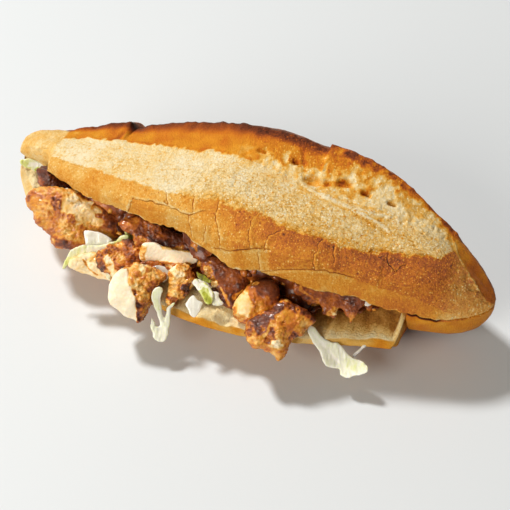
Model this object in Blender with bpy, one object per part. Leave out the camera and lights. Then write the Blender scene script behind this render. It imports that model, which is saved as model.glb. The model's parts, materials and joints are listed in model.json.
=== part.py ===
"""A long chicken doner sandwich: a slit pointed loaf, the chicken pieces, lettuce and onion that
stick out of its mouth, and the bed of shredded filling that runs along inside it.

Lengths are metres, except where a name ends in _MM. +X runs along the loaf, -Y is the side of the
open mouth, +Z is up. The origin is under the middle of the whole sandwich, on the board.
"""

from math import cos, pi, radians, sin

import bmesh
import bpy
import numpy as np
from mathutils import Matrix, Vector, noise

MM = 0.001

# ---- the loaf ---------------------------------------------------------------------------------
LENGTH = 0.280  # tip to tip
END_ROUNDNESS = 12.0  # the ends are blunt: the taper only acts near the tips
TIP_HEIGHT_LEFT_MM = 44.0
TIP_HEIGHT_RIGHT_MM = 38.0
END_LIFT_LEFT_MM = 16.0  # the underside rises towards both tips
END_LIFT_RIGHT_MM = 4.0

# Stations along the loaf, -1 at the left tip and 1 at the right tip.
STATIONS = (-1.0, -0.85, -0.6, -0.3, 0.0, 0.3, 0.55, 0.8, 1.0)
# Each edge that runs along the loaf: depth (y) and height (z) at the stations, in millimetres.
CREST_Y_MM = (8.0, 14.0, 21.0, 25.0, 26.0, 25.5, 23.0, 16.0, 9.0)
CREST_Z_MM = (66.0, 62.0, 70.5, 81.0, 91.0, 92.5, 86.0, 65.0, 50.0)
EAR_FOOT_Y_MM = (3.0, 5.0, 6.0, 8.0, 8.0, 2.5, 3.5, 4.5, 3.0)
EAR_FOOT_Z_MM = (60.0, 60.5, 66.0, 76.0, 82.0, 80.0, 76.0, 64.0, 47.0)
SHOULDER_Y_MM = (-4.0, -7.0, -14.0, -22.0, -22.0, -24.0, -18.0, -7.0, -2.0)
SHOULDER_Z_MM = (58.0, 60.0, 66.5, 73.5, 77.5, 74.0, 68.5, 64.5, 46.0)
UPPER_LIP_Y_MM = (-8.0, -13.0, -23.5, -31.0, -36.0, -37.0, -31.0, -23.0, -12.0)
UPPER_LIP_Z_MM = (48.0, 50.0, 54.0, 57.0, 54.0, 50.0, 45.0, 36.5, 34.0)
LOWER_LIP_Y_MM = (-12.0, -22.0, -39.0, -51.0, -56.0, -51.5, -39.0, -28.0, -12.0)
LOWER_LIP_Z_MM = (34.0, 30.0, 26.0, 24.0, 24.0, 24.0, 24.0, 25.0, 32.0)
BACK_Y_MM = (14.0, 25.0, 38.0, 47.0, 50.0, 48.0, 42.0, 27.0, 15.0)
BACK_Z_MM = (42.0, 40.0, 41.0, 43.0, 44.0, 45.0, 43.0, 38.0, 38.0)

# The crest dips towards each of these stations and steps up again just right of it.
CREST_NOTCHES = ((-0.50, 0.06, 2.2), (0.265, 0.22, 3.0))  # station, length, depth in mm
# The lid's lip is wavy: station, half length, and how far it reaches out, in mm.
LIP_WAVES = ((-0.17, 0.13, -3.0), (0.075, 0.12, 4.0))
# Left of this station the front of the lid is torn back to the tip's own knob.
LID_TEAR = -0.815
LID_TEAR_DEPTH_MM = 9.0
# Right of this station the lower flap is torn off and the loaf is nearly whole again.
FLAP_TEAR = 0.695
SLIT_END = 0.865
SLIT_MM = 1.8
FLAP_THICKNESS_MM = 5.0
# How far back the slit reaches, as a share of the depth from lip to back, at the stations.
SLIT_DEPTH = (1.5, 0.86, 0.76, 0.74, 0.74, 0.72, 0.66, 0.45, 0.1)

SECTIONS = 36  # rings along the loaf
RING_STEPS = 2  # points on each side of a ring's control points
GAP_MM = 0.35  # air kept between pieces that lie against each other
# The tables place things from under the loaf's own axis. The filling sticks out in front of it, so
# the middle of the whole sandwich lies a little in front of that axis.
MIDDLE_MM = (0.52, -10.57, 0.0)

# ---- the filling ------------------------------------------------------------------------------
BED_START = -0.9
BED_END = 0.63
BED_SECTIONS = 24
BED_SET_BACK_MM = 9.0  # how far behind the lips its front lies
CHUNK_ROWS = 7
CHUNK_SPOKES = 11
RIBBON_STEPS = 3
HEADING = radians(22)  # the pieces lie along the loaf, turned a little to the right
LEAN = radians(44)  # and lean back into the mouth

FINISHES = {
    "chicken": ((0.62, 0.27, 0.08), 0.35),
    "lettuce": ((0.72, 0.78, 0.45), 0.45),
    "onion": ((0.88, 0.88, 0.78), 0.4),
}
# Each piece: its centre, its width, height and thickness, how far it is spun on its own face in
# degrees, where a knife cut its front flat as a share of its half thickness, and what it is.
PIECES = {
    "chicken_01": ((-90, -28.5, 35), (62, 27, 15), 23, 0, "chicken"),
    "chicken_02": ((-111, -13.5, 44.5), (14, 15, 9), 10, 0, "chicken"),
    "chicken_03": ((-54, -40, 34.5), (23, 16, 13), 0, 0, "chicken"),
    "chicken_04": ((-29.5, -35, 40), (33, 14, 11), 10, 0.6, "chicken"),
    "chicken_05": ((-30, -25, 43.5), (56, 18, 14), 20, 0, "chicken"),
    "chicken_06": ((-39.5, -57, 29), (28, 32, 15), 10, 0.7, "chicken"),
    "chicken_07": ((-17, -45, 32), (16, 25, 12), 15, 0, "chicken"),
    "chicken_08": ((5, -40, 37), (19, 26, 13), 0, 0, "chicken"),
    "chicken_09": ((26.5, -44, 34), (28, 24, 17), 15, 0, "chicken"),
    "chicken_10": ((40, -53.5, 31), (31, 25, 10), 25, 0, "chicken"),
    "chicken_11": ((60, -33, 38), (32, 17, 8), 15, 0, "chicken"),
    "chicken_12": ((-69, -47.5, 28), (15, 14, 9), 0, 0, "chicken"),
    "chicken_13": ((-31.5, -42, 35), (20, 8, 8), 5, 0, "chicken"),
    "onion_01": ((-75, -35, 33.5), (14, 9, 7), 10, 0, "onion"),
    "onion_02": ((-7.5, -45, 35), (7, 7, 5), 25, 0.7, "onion"),
    "onion_03": ((-6.5, -55, 30), (10, 12, 5), -20, 0.7, "onion"),
}
# Each strip of leaf: one or more ribbons, as path in mm, widths in mm, and thickness in mm.
STRIPS = {
    "lettuce_01": [([(-87, -52, 23), (-85, -44, 27), (-77, -38, 30), (-66, -35, 34), (-57, -29, 38)],
                    (1.5, 5, 6, 5, 4), 1.0)],
    "lettuce_02": [([(-23, -52, 36), (-24, -59, 29), (-21, -64, 20), (-20, -68, 12)],
                    (5, 4.5, 4, 5), 1.4),
                   ([(-17, -53, 30), (-18, -58, 25), (-20.5, -63, 19)], (2.5, 2, 2), 1.2),
                   ([(-27, -62, 20), (-25, -65, 16), (-21, -67.5, 12.5)], (1.5, 2, 2.5), 1.2)],
    "lettuce_03": [([(-6, -46, 41), (1, -50, 37), (5, -55, 33)], (4, 6, 4), 1.2)],
    "lettuce_04": [([(56, -46, 31), (63, -46.5, 23), (71, -46, 15), (84, -45, 7.5)],
                    (3, 9, 12, 10), 0.9)],
    "lettuce_05": [([(-135, -5, 45), (-129, -4, 44), (-121, -3, 43)], (3, 4, 3), 1.0)],
    "lettuce_06": [([(-57, -33, 37), (-56, -27, 40), (-53, -21, 42)], (3, 4, 3), 1.0)],
}


def along(values, u):
    """The value at station u, on a smooth curve through the values at the nine stations."""
    s = np.array(STATIONS)
    v = np.array(values, float)
    slope = np.gradient(v, s)
    i = int(np.clip(np.searchsorted(s, u) - 1, 0, len(s) - 2))
    h = s[i + 1] - s[i]
    t = min(max((u - s[i]) / h, 0.0), 1.0)
    a = (1 + 2 * t) * (1 - t) ** 2
    b = t * (1 - t) ** 2
    c = t * t * (3 - 2 * t)
    d = t * t * (t - 1)
    return float(a * v[i] + b * h * slope[i] + c * v[i + 1] + d * h * slope[i + 1])


def ramp(x, low, high):
    """0 below low, 1 above high, and a smooth rise between."""
    t = min(max((x - low) / (high - low), 0.0), 1.0)
    return t * t * (3 - 2 * t)


def mix(a, b, t):
    return a + (b - a) * t


def edges(u):
    """The named edges of the loaf's section at station u, before its ends are rounded."""
    keel = (END_LIFT_LEFT_MM if u < 0 else END_LIFT_RIGHT_MM) * ramp(abs(u), 0.5, 1.1)
    crest = np.array([along(CREST_Y_MM, u), along(CREST_Z_MM, u)])
    for station, length, depth in CREST_NOTCHES:
        crest[1] -= depth * ramp(u, station - length, station) * (1 - ramp(u, station, station + 0.02))
    foot = np.array([along(EAR_FOOT_Y_MM, u), along(EAR_FOOT_Z_MM, u)])
    shoulder = np.array([along(SHOULDER_Y_MM, u), along(SHOULDER_Z_MM, u)])
    upper = np.array([along(UPPER_LIP_Y_MM, u), along(UPPER_LIP_Z_MM, u)])
    back = np.array([along(BACK_Y_MM, u), along(BACK_Z_MM, u)])
    for station, length, reach in LIP_WAVES:
        upper -= 0.7 * reach * (1 - ramp(abs(u - station), 0.0, length))
    torn = 1 - ramp(u, LID_TEAR - 0.012, LID_TEAR + 0.012)
    upper[0] += LID_TEAR_DEPTH_MM * torn
    shoulder[0] += 0.4 * LID_TEAR_DEPTH_MM * torn
    flap = np.array([along(LOWER_LIP_Y_MM, u), along(LOWER_LIP_Z_MM, u)])
    whole = ramp(u, FLAP_TEAR - 0.006, FLAP_TEAR + 0.006)
    lower = mix(flap, upper + np.array([0.4, -SLIT_MM]), whole)
    return {"keel": keel, "crest": crest, "foot": foot, "shoulder": shoulder, "upper": upper,
            "lower": lower, "back": back, "whole": whole}


def outline(u):
    """Control points (y, z, sharp) of the uncut loaf's section, from the upper lip over the top.

    sharp is 1 at a crisp corner and 0 where the crust runs on smoothly.
    """
    e = edges(u)
    lip = 1 - ramp(u, SLIT_END - 0.03, SLIT_END + 0.03)
    edge = 1 - 0.7 * ramp(abs(u), 0.8, 0.98)
    keel, whole = e["keel"], e["whole"]
    upper, lower, back = e["upper"], e["lower"], e["back"]
    shoulder, foot, crest = e["shoulder"], e["foot"], e["crest"]
    face = shoulder - upper
    out = np.array([-face[1], face[0]])
    bulge = mix(upper, shoulder, 0.5) + 0.16 * out
    strip = mix(shoulder, foot, 0.5) + np.array([0.0, 1.2])
    height = lower[1] - keel
    under = [
        (lower[0] * mix(0.31, 0.05, whole), keel),
        (lower[0] * mix(0.54, 0.34, whole), keel + 0.18 * height),
        (lower[0] * mix(0.78, 0.68, whole), keel + 0.46 * height),
        (lower[0] + 1.6, lower[1] - FLAP_THICKNESS_MM),
    ]
    mouth = mix(lower, upper, 0.5) + np.array([-3.0, 0.0]) * (1 - 0.8 * whole)
    return [
        (*upper, lip),
        (*bulge, 0.0),
        (*shoulder, 0.8 * edge),
        (*strip, 0.0),
        (*foot, edge),
        (*crest, 0.9 * edge),
        (mix(crest[0], back[0], 0.8), mix(back[1], crest[1], 0.55), 0.0),
        (*back, 0.0),
        (0.92 * back[0], mix(keel, back[1], 0.38), 0.0),
        (0.55 * back[0], keel, 0.0),
        (0.10 * back[0], keel, 0.0),
        *[(*p, 0.0) for p in under],
        (*lower, lip),
        (*mouth, 0.0),
    ]



def eased(slope, chord):
    """A slope no longer than its chord, so that a curve never loops between two close points."""
    return slope * min(1.0, 1.1 * np.linalg.norm(chord) / (np.linalg.norm(slope) + 1e-9))


def ring(points, steps):
    """A closed curve through the control points, never lower than the board it lies on."""
    p = np.array([q[:2] for q in points])
    n = len(p)
    curve = []
    for i in range(n):
        a, b = p[i], p[(i + 1) % n]
        chord = b - a
        out = mix(eased(0.5 * (b - p[i - 1]), chord), chord, points[i][2])
        into = mix(eased(0.5 * (p[(i + 2) % n] - a), chord), chord, points[(i + 1) % n][2])
        for k in range(steps):
            t = k / steps
            curve.append((1 + 2 * t) * (1 - t) ** 2 * a + t * (1 - t) ** 2 * out
                         + t * t * (3 - 2 * t) * b + t * t * (t - 1) * into)
    curve = np.array(curve)
    curve[:, 1] = np.maximum(curve[:, 1], 0.0)
    return curve


def taper(u, curve):
    """Rounds the ends: near a tip the section shrinks towards the tip's own point."""
    share = max(0.0, 1 - abs(u) ** END_ROUNDNESS) ** 0.5
    tip = np.array([0.0, TIP_HEIGHT_LEFT_MM if u < 0 else TIP_HEIGHT_RIGHT_MM])
    return tip + (curve - tip) * share


def mouth(u, gap, flare):
    """The slit's section at station u: a wedge from both lips back to the crease inside.

    gap draws every face of it inwards. With flare the wedge opens to all the free space in front.
    """
    e = edges(u)
    upper, lower = e["upper"], e["lower"]
    front = mix(upper, lower, 0.5)
    closing = ramp(u, SLIT_END - 0.08, SLIT_END)
    depth = along(SLIT_DEPTH, u) * (1 - 0.7 * closing)
    crease = np.array([mix(front[0], e["back"][0], depth), mix(front[1], 40.0, 0.7 - 0.7 * closing)])
    crease[0] -= gap
    height = upper[1] - lower[1] - 2 * gap
    top = upper + np.array([0.0, -0.25 - gap])
    low = lower + np.array([0.0, 0.25 + gap])
    half = min(1.6, 0.14 * height)
    blunt = 0.12 * (crease[0] - front[0])
    hollow = 0.10 * height
    inner = [
        mix(top, crease, 0.35) + np.array([0.0, 0.5 * hollow]),
        mix(top, crease, 0.7) + np.array([0.0, 0.8 * hollow]),
        crease + np.array([-blunt, half]),
        crease,
        crease + np.array([-blunt, -half]),
        mix(low, crease, 0.7) - np.array([0.0, 0.8 * hollow]),
        mix(low, crease, 0.35) - np.array([0.0, 0.5 * hollow]),
    ]
    if flare:
        outside = [
            low + np.array([-1.0 - gap, 0.0]),
            low + np.array([-1.2 - gap, -lower[1] + 0.4]),
            np.array([-90.0, 0.4]),
            np.array([-90.0, upper[1] + 30.0]),
            top + np.array([-6.0, 2.0]),
        ]
    else:
        outside = [low + np.array([-30.0, 0.0]), top + np.array([-30.0, 1.0])]
    return np.array([top, *inner, low, *outside])


def spacing(count, low=-1.0, high=1.0):
    """Stations from low to high, closer together near both tips and at the two tears."""
    base = [-cos(pi * i / (count - 1)) for i in range(count)]
    base = [mix(b, -1 + 2 * i / (count - 1), 0.55) for i, b in enumerate(base)]
    extra = [FLAP_TEAR - 0.006, FLAP_TEAR, FLAP_TEAR + 0.006,
             LID_TEAR - 0.012, LID_TEAR, LID_TEAR + 0.012]
    kept = [b for b in base if min(abs(b - x) for x in extra) > 0.008]
    return sorted(u for u in kept + extra if low <= u <= high)


def loft(name, sections, ends):
    """A closed body through sections [(x, curve)], ended by a point, or flat where it is None."""
    mesh = bmesh.new()
    rows = []
    for x, curve in sections:
        rows.append([mesh.verts.new((x, y * MM, z * MM)) for y, z in curve])
    for a, b in zip(rows, rows[1:]):
        n = len(a)
        for i in range(n):
            j = (i + 1) % n
            mesh.faces.new((a[i], b[i], b[j]))
            mesh.faces.new((a[i], b[j], a[j]))
    for row, point, flip in ((rows[0], ends[0], True), (rows[-1], ends[1], False)):
        if point is None:
            mesh.faces.new(row if flip else row[::-1])
            continue
        hub = mesh.verts.new(point)
        n = len(row)
        for i in range(n):
            j = (i + 1) % n
            face = (row[i], row[j], hub)
            mesh.faces.new(face if flip else face[::-1])
    return finish(name, mesh)


def guide(obj):
    """Marks an object as a tool of the making, which is not part of the sandwich."""
    obj.hide_render = True
    obj.display_type = "WIRE"
    return obj


def make_loaf():
    sections = []
    for u in spacing(SECTIONS)[1:-1]:
        curve = taper(u, ring(outline(u), RING_STEPS))
        sections.append((u * LENGTH / 2, curve))
    left = (-LENGTH / 2, 0.0, TIP_HEIGHT_LEFT_MM * MM)
    right = (LENGTH / 2, 0.0, TIP_HEIGHT_RIGHT_MM * MM)
    return loft("bread_roll", sections, (left, right))


def make_mouth(name, gap, flare):
    """The slit as a solid: it leaves the loaf through the left tip and ends inside at the right."""
    sections = []
    end = SLIT_END - 0.004
    for u in [-1.25, -1.1, *spacing(SECTIONS, -0.99, end), end]:
        curve = mouth(max(u, -0.999), gap, flare)
        if u < 0:
            share = max(0.0, 1 - min(abs(u), 0.97) ** END_ROUNDNESS) ** 0.5
            heart = np.array([0.0, TIP_HEIGHT_LEFT_MM])
            curve = np.array([mix(heart, c, mix(share, 1.0, 0.35)) for c in curve])
        sections.append((u * LENGTH / 2, curve))
    return guide(loft(name, sections, (None, None)))


def make_bed():
    """The shredded lettuce and small chicken that fill the slit behind the pieces in front."""
    sections = []
    for i in range(BED_SECTIONS):
        u = mix(BED_START, BED_END, i / (BED_SECTIONS - 1))
        e = edges(u)
        wave = 1.8 * sin(23.0 * u) + 1.2 * sin(51.0 * u + 1.0)
        top, low = e["upper"], e["lower"]
        front = [
            low + np.array([BED_SET_BACK_MM - wave, -4.0]),
            mix(low, top, 0.35) + np.array([BED_SET_BACK_MM + 0.6 * wave, 0.0]),
            mix(low, top, 0.7) + np.array([0.8 * BED_SET_BACK_MM + wave, 0.0]),
            top + np.array([0.7 * BED_SET_BACK_MM, 4.0]),
        ]
        deep = [np.array([40.0, top[1] + 4.0]), np.array([40.0, low[1] - 4.0])]
        sections.append((u * LENGTH / 2, np.array([*front, *deep])))
    return loft("lettuce_bed", sections, (None, None))


def chunk(name, centre, size, spin, seed, cut, grow=0.0):
    """A lumpy torn piece: a rounded block with hollows and bumps, leaning out of the mouth.

    size is its width, height and thickness. cut, if any, is the share of the half thickness at
    which a knife left a flat face in front. grow is added to each half size.
    """
    half = [0.5 * s + grow for s in size]
    place = Matrix.Translation([c * MM for c in centre])
    turn = Matrix.Rotation(HEADING, 4, "Z") @ Matrix.Rotation(LEAN, 4, "X")
    turn = place @ turn @ Matrix.Rotation(-radians(spin), 4, "Z")
    mesh = bmesh.new()
    rows = []
    for i in range(1, CHUNK_ROWS):
        polar = pi * i / CHUNK_ROWS
        row = []
        for k in range(CHUNK_SPOKES):
            round_ = 2 * pi * (k + 0.5 * (i % 2)) / CHUNK_SPOKES
            row.append(Vector((sin(polar) * cos(round_), sin(polar) * sin(round_), cos(polar))))
        rows.append(row)

    def place_vertex(way):
        lump = 1 + 0.30 * noise.noise(way * 1.3 + Vector((seed, 0, 0)))
        lump += 0.16 * noise.noise(way * 3.1 + Vector((0, seed, 0)))
        point = [lump * h * (abs(w) ** 0.75) * (1 if w > 0 else -1) for w, h in zip(way, half)]
        if cut:
            point[2] = min(point[2], cut * half[2])
        return mesh.verts.new(turn @ Vector([p * MM for p in point]))

    north = place_vertex(Vector((0, 0, 1)))
    south = place_vertex(Vector((0, 0, -1)))
    loops = [[place_vertex(way) for way in row] for row in rows]
    for a, b in zip(loops, loops[1:]):
        for k in range(CHUNK_SPOKES):
            n = (k + 1) % CHUNK_SPOKES
            mesh.faces.new((a[k], b[k], b[n]))
            mesh.faces.new((a[k], b[n], a[n]))
    for k in range(CHUNK_SPOKES):
        n = (k + 1) % CHUNK_SPOKES
        mesh.faces.new((north, loops[0][k], loops[0][n]))
        mesh.faces.new((south, loops[-1][n], loops[-1][k]))
    return finish(name, mesh)


def ribbon(name, path, widths, thickness, grow=0.0):
    """A strip of leaf or rib along a path of points in millimetres, broad side to the front."""
    facing = Matrix.Rotation(HEADING, 3, "Z") @ Matrix.Rotation(LEAN, 3, "X") @ Vector((0, 0, 1))
    points = [Vector(p) for p in path]
    count = RIBBON_STEPS * (len(points) - 1) + 1
    line, spread = [], []
    for i in range(count):
        k = min(i // RIBBON_STEPS, len(points) - 2)
        t = i / RIBBON_STEPS - k
        before, after = points[max(k - 1, 0)], points[min(k + 2, len(points) - 1)]
        a, b = points[k], points[k + 1]
        out, into = 0.5 * (b - before), 0.5 * (after - a)
        line.append((1 + 2 * t) * (1 - t) ** 2 * a + t * (1 - t) ** 2 * out
                    + t * t * (3 - 2 * t) * b + t * t * (t - 1) * into)
        spread.append(mix(widths[k], widths[k + 1], t))
    line[0] += (line[0] - line[1]).normalized() * grow
    line[-1] += (line[-1] - line[-2]).normalized() * grow
    mesh = bmesh.new()
    loops = []
    for i, (here, width) in enumerate(zip(line, spread)):
        along_it = (line[min(i + 1, count - 1)] - line[max(i - 1, 0)]).normalized()
        side = along_it.cross(facing).normalized()
        up = side.cross(along_it).normalized()
        a, b = 0.5 * width + grow, 0.5 * thickness + grow
        fold = 0.5 * thickness * sin(1.9 * i)
        corners = [-a * side - b * up, a * side - b * up, a * side + b * up, fold * up + b * up,
                   -a * side + b * up]
        loops.append([mesh.verts.new((here + c) * MM) for c in corners])
    for a, b in zip(loops, loops[1:]):
        for k in range(5):
            n = (k + 1) % 5
            mesh.faces.new((a[k], a[n], b[n]))
            mesh.faces.new((a[k], b[n], b[k]))
    mesh.faces.new(loops[0][::-1])
    mesh.faces.new(loops[-1])
    return finish(name, mesh)


def finish(name, mesh):
    """Turns a bmesh into an object placed from the sandwich's middle, with its faces outwards."""
    bmesh.ops.translate(mesh, verts=mesh.verts, vec=[-m * MM for m in MIDDLE_MM])
    bmesh.ops.recalc_face_normals(mesh, faces=mesh.faces)
    data = bpy.data.meshes.new(name)
    mesh.to_mesh(data)
    mesh.free()
    obj = bpy.data.objects.new(name, data)
    bpy.context.scene.collection.objects.link(obj)
    return obj


def box_of(obj):
    corners = np.array([v.co for v in obj.data.vertices])
    return corners.min(axis=0), corners.max(axis=0)


def near(a, b):
    low_a, high_a = box_of(a)
    low_b, high_b = box_of(b)
    return bool((low_a < high_b).all() and (low_b < high_a).all())


def combine(obj, other, operation, solver="EXACT"):
    """Changes obj's mesh by a Boolean with another closed body, and keeps the result."""
    change = obj.modifiers.new(operation.lower(), "BOOLEAN")
    change.operation = operation
    change.solver = solver
    change.object = other
    bpy.context.view_layer.update()
    graph = bpy.context.evaluated_depsgraph_get()
    result = bpy.data.meshes.new_from_object(obj.evaluated_get(graph))
    obj.modifiers.clear()
    obj.data = result
    mesh = bmesh.new()
    mesh.from_mesh(result)
    bmesh.ops.triangulate(mesh, faces=mesh.faces)
    mesh.to_mesh(result)
    mesh.free()


def keep_largest(obj):
    """Drops the small crumbs that a cut can leave beside the piece itself."""
    mesh = bmesh.new()
    mesh.from_mesh(obj.data)
    bmesh.ops.triangulate(mesh, faces=mesh.faces)
    left = set(mesh.faces)
    islands = []
    while left:
        start = left.pop()
        island, queue = [start], [start]
        while queue:
            for edge in queue.pop().edges:
                if len(edge.link_faces) != 2:
                    continue
                for face in edge.link_faces:
                    if face in left:
                        left.remove(face)
                        island.append(face)
                        queue.append(face)
        islands.append(island)
    islands.sort(key=len, reverse=True)
    for island in islands[1:]:
        bmesh.ops.delete(mesh, geom=island, context="FACES")
    mesh.to_mesh(obj.data)
    mesh.free()


def fit(obj, cutters, space, solver="EXACT"):
    """Keeps a piece to the free space and clear of the pieces already there."""
    combine(obj, space, "INTERSECT", solver)
    for cutter in cutters:
        if obj.data.vertices and near(obj, cutter):
            combine(obj, cutter, "DIFFERENCE", solver)
    if not obj.data.vertices:
        raise ValueError(obj.name + " has no room left")
    keep_largest(obj)


def paint(obj, name, colour, roughness):
    """Gives an object its material, made once for each name."""
    material = bpy.data.materials.get(name)
    if material is None:
        material = bpy.data.materials.new(name)
        material.use_nodes = True
        shader = material.node_tree.nodes["Principled BSDF"]
        shader.inputs["Base Color"].default_value = (*colour, 1.0)
        shader.inputs["Roughness"].default_value = roughness
        shader.inputs["Metallic"].default_value = 0.0
    obj.data.materials.clear()
    obj.data.materials.append(material)


for old in list(bpy.data.objects):
    bpy.data.objects.remove(old)

loaf = make_loaf()
combine(loaf, make_mouth("slit_cutter", 0.0, False), "DIFFERENCE")
keep_largest(loaf)
paint(loaf, "bread", (0.66, 0.38, 0.15), 0.7)

free_space = make_mouth("free_space", GAP_MM, True)
taken = []
for name, (centre, size, spin, cut, kind) in PIECES.items():
    seed = 3.7 * len(taken) + 1.3
    piece = chunk(name, centre, size, spin, seed, cut)
    fit(piece, taken, free_space)
    paint(piece, kind, *FINISHES[kind])
    taken.append(guide(chunk(name + "_room", centre, size, spin, seed, cut, 1.6 * GAP_MM)))

for name, strips in STRIPS.items():
    path, widths, thickness = strips[0]
    strip = ribbon(name, path, widths, thickness)
    for more in strips[1:]:
        prong = guide(ribbon(name + "_prong", *more))
        combine(strip, prong, "UNION")
    fit(strip, taken, free_space)
    paint(strip, "lettuce", *FINISHES["lettuce"])
    for one in strips:
        taken.append(guide(ribbon(name + "_room", *one, GAP_MM)))

bed = make_bed()
# So many cuts meet in the bed that the exact solver leaves open edges there.
fit(bed, taken, free_space, "MANIFOLD")
paint(bed, "lettuce", *FINISHES["lettuce"])
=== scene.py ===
# %% [markdown]
# # A chicken doner sandwich
#
# A long pointed roll, slit along one side and stuffed with grilled chicken, shredded lettuce and
# onion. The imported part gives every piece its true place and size. This lesson dresses it: the
# roll gets its baked relief and torn edges, the meat its fibres and glaze, and the heap of salad
# its separate shreds. +X runs along the roll, -Y looks out of the open mouth, +Z is up.

import json
from math import pi, radians

import bmesh
import bpy
import numpy as np
from mathutils import Matrix, Vector

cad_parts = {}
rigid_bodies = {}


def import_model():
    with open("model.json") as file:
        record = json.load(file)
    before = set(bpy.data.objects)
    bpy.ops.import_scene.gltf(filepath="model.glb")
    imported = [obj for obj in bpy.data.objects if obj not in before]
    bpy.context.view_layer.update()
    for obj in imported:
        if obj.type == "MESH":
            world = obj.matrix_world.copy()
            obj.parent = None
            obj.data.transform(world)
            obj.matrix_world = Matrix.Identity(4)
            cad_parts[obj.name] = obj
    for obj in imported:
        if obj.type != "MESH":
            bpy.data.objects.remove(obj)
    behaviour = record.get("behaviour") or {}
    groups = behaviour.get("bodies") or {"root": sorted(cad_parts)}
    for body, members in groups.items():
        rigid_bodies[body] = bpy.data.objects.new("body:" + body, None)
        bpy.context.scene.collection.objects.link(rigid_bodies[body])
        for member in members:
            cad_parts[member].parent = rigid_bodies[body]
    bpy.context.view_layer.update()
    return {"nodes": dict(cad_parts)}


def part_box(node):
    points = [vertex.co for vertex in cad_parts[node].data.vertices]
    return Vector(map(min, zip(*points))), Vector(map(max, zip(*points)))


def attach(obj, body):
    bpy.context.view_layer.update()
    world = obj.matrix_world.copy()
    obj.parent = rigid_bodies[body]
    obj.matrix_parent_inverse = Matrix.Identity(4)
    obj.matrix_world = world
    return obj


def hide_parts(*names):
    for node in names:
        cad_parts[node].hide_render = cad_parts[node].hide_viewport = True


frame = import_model()
nodes = frame["nodes"]
MM = 0.001

# %% [markdown]
# ## The table and the light
#
# The sandwich lies on a pale board under one window-like light from the left and a little behind,
# which rakes over the crust and shows its cracks, and soft fill from all round. The key light is
# large enough for soft edges and small enough for the wet glints on the meat.

# %% Camera, floor and lights
CAMERA_TILT, CAMERA_TURN = 44.0, 22.3645  # degrees, from straight down and round the upright
FLOOR_HALF = 4.0
scene = bpy.context.scene


def shown(name, data):
    """A new object in the scene that holds this data."""
    obj = bpy.data.objects.new(name, data)
    scene.collection.objects.link(obj)
    return obj


lens = bpy.data.cameras.new("camera")
lens.sensor_width = 36.0
lens.lens = 84.7
camera = shown("camera", lens)
camera.location = (0.18225, -0.41871, 0.50136)
camera.rotation_euler = (radians(CAMERA_TILT), 0.0, radians(CAMERA_TURN))
scene.camera = camera

floor_mesh = bpy.data.meshes.new("floor")
corner_signs = ((-1, -1), (1, -1), (1, 1), (-1, 1))
floor_mesh.from_pydata([(FLOOR_HALF * x, FLOOR_HALF * y, 0) for x, y in corner_signs], [], [(0, 1, 2, 3)])
floor = shown("floor", floor_mesh)
floor.location.z = -0.0002  # just under the crust, so that the two never share a plane
board = bpy.data.materials.new("board")
board.use_nodes = True
board_shader = board.node_tree.nodes["Principled BSDF"]
board_shader.inputs["Base Color"].default_value = (0.69, 0.725, 0.755, 1)
board_shader.inputs["Roughness"].default_value = 0.6
floor_mesh.materials.append(board)


def area_light(name, way, distance, size, power, colour):
    """A square light that shines at the sandwich from the direction `way`."""
    data = bpy.data.lights.new(name, "AREA")
    data.size = size
    data.energy = power
    data.color = colour
    lamp = shown(name, data)
    lamp.location = Vector(way).normalized() * distance + Vector((0, 0, 0.04))
    lamp.rotation_euler = Vector(way).to_track_quat("Z", "Y").to_euler()


area_light("key", (-0.56, 0.23, 0.80), 3.2, 0.39, 96.0, (1.0, 0.985, 0.955))
area_light("fill", (-0.32, -0.90, 0.45), 3.2, 1.8, 73.0, (1.0, 0.955, 0.875))
world = bpy.data.worlds.new("room")
world.use_nodes = True
background = world.node_tree.nodes["Background"]
background.inputs["Color"].default_value = (1.0, 0.90, 0.77, 1)
background.inputs["Strength"].default_value = 0.15
scene.world = world
scene.view_settings.view_transform = "Standard"
print("camera, floor and", len(bpy.data.lights), "lights")

# %% [markdown]
# ## Curves and noise
#
# Everything on a baked roll varies slowly along it and quickly across its skin. Two small tools
# describe both: `along` reads a smooth curve through a few measured values, and `noise` gives
# smooth random values in space, so a crack or a lump has the same place each time.

# %% Curves through measured values
STATIONS = np.array([-1.0, -0.85, -0.6, -0.3, 0.0, 0.3, 0.55, 0.8, 1.0])  # -1 and 1 are the tips


def mix(a, b, t):
    return a + (b - a) * t


def ramp(x, low, high):
    """0 below low, 1 above high, and a smooth rise between."""
    t = np.clip((x - low) / (high - low), 0.0, 1.0)
    return t * t * (3 - 2 * t)


def bump(x, middle, half):
    """1 at the middle, falling smoothly to 0 at half its width away."""
    return 1 - ramp(np.abs(x - middle), 0.0, half)


def hill(away, width):
    """1 where away is 0, falling off like a bell over about the width."""
    return np.exp(-(away / width) ** 2)


def hermite(a, out, b, into, t):
    """A smooth curve from a to b, as t goes from 0 to 1, with these slopes at its ends."""
    return ((1 + 2 * t) * (1 - t) ** 2 * a + t * (1 - t) ** 2 * out
            + t * t * (3 - 2 * t) * b + t * t * (t - 1) * into)


def along(values, u):
    """The values at stations u on a smooth curve through the values at the named stations."""
    v = np.array(values, float)
    slope = np.gradient(v, STATIONS)
    i = np.clip(np.searchsorted(STATIONS, u) - 1, 0, len(STATIONS) - 2)
    h = STATIONS[i + 1] - STATIONS[i]
    t = np.clip((u - STATIONS[i]) / h, 0.0, 1.0)
    return hermite(v[i], h * slope[i], v[i + 1], h * slope[i + 1], t)


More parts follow.
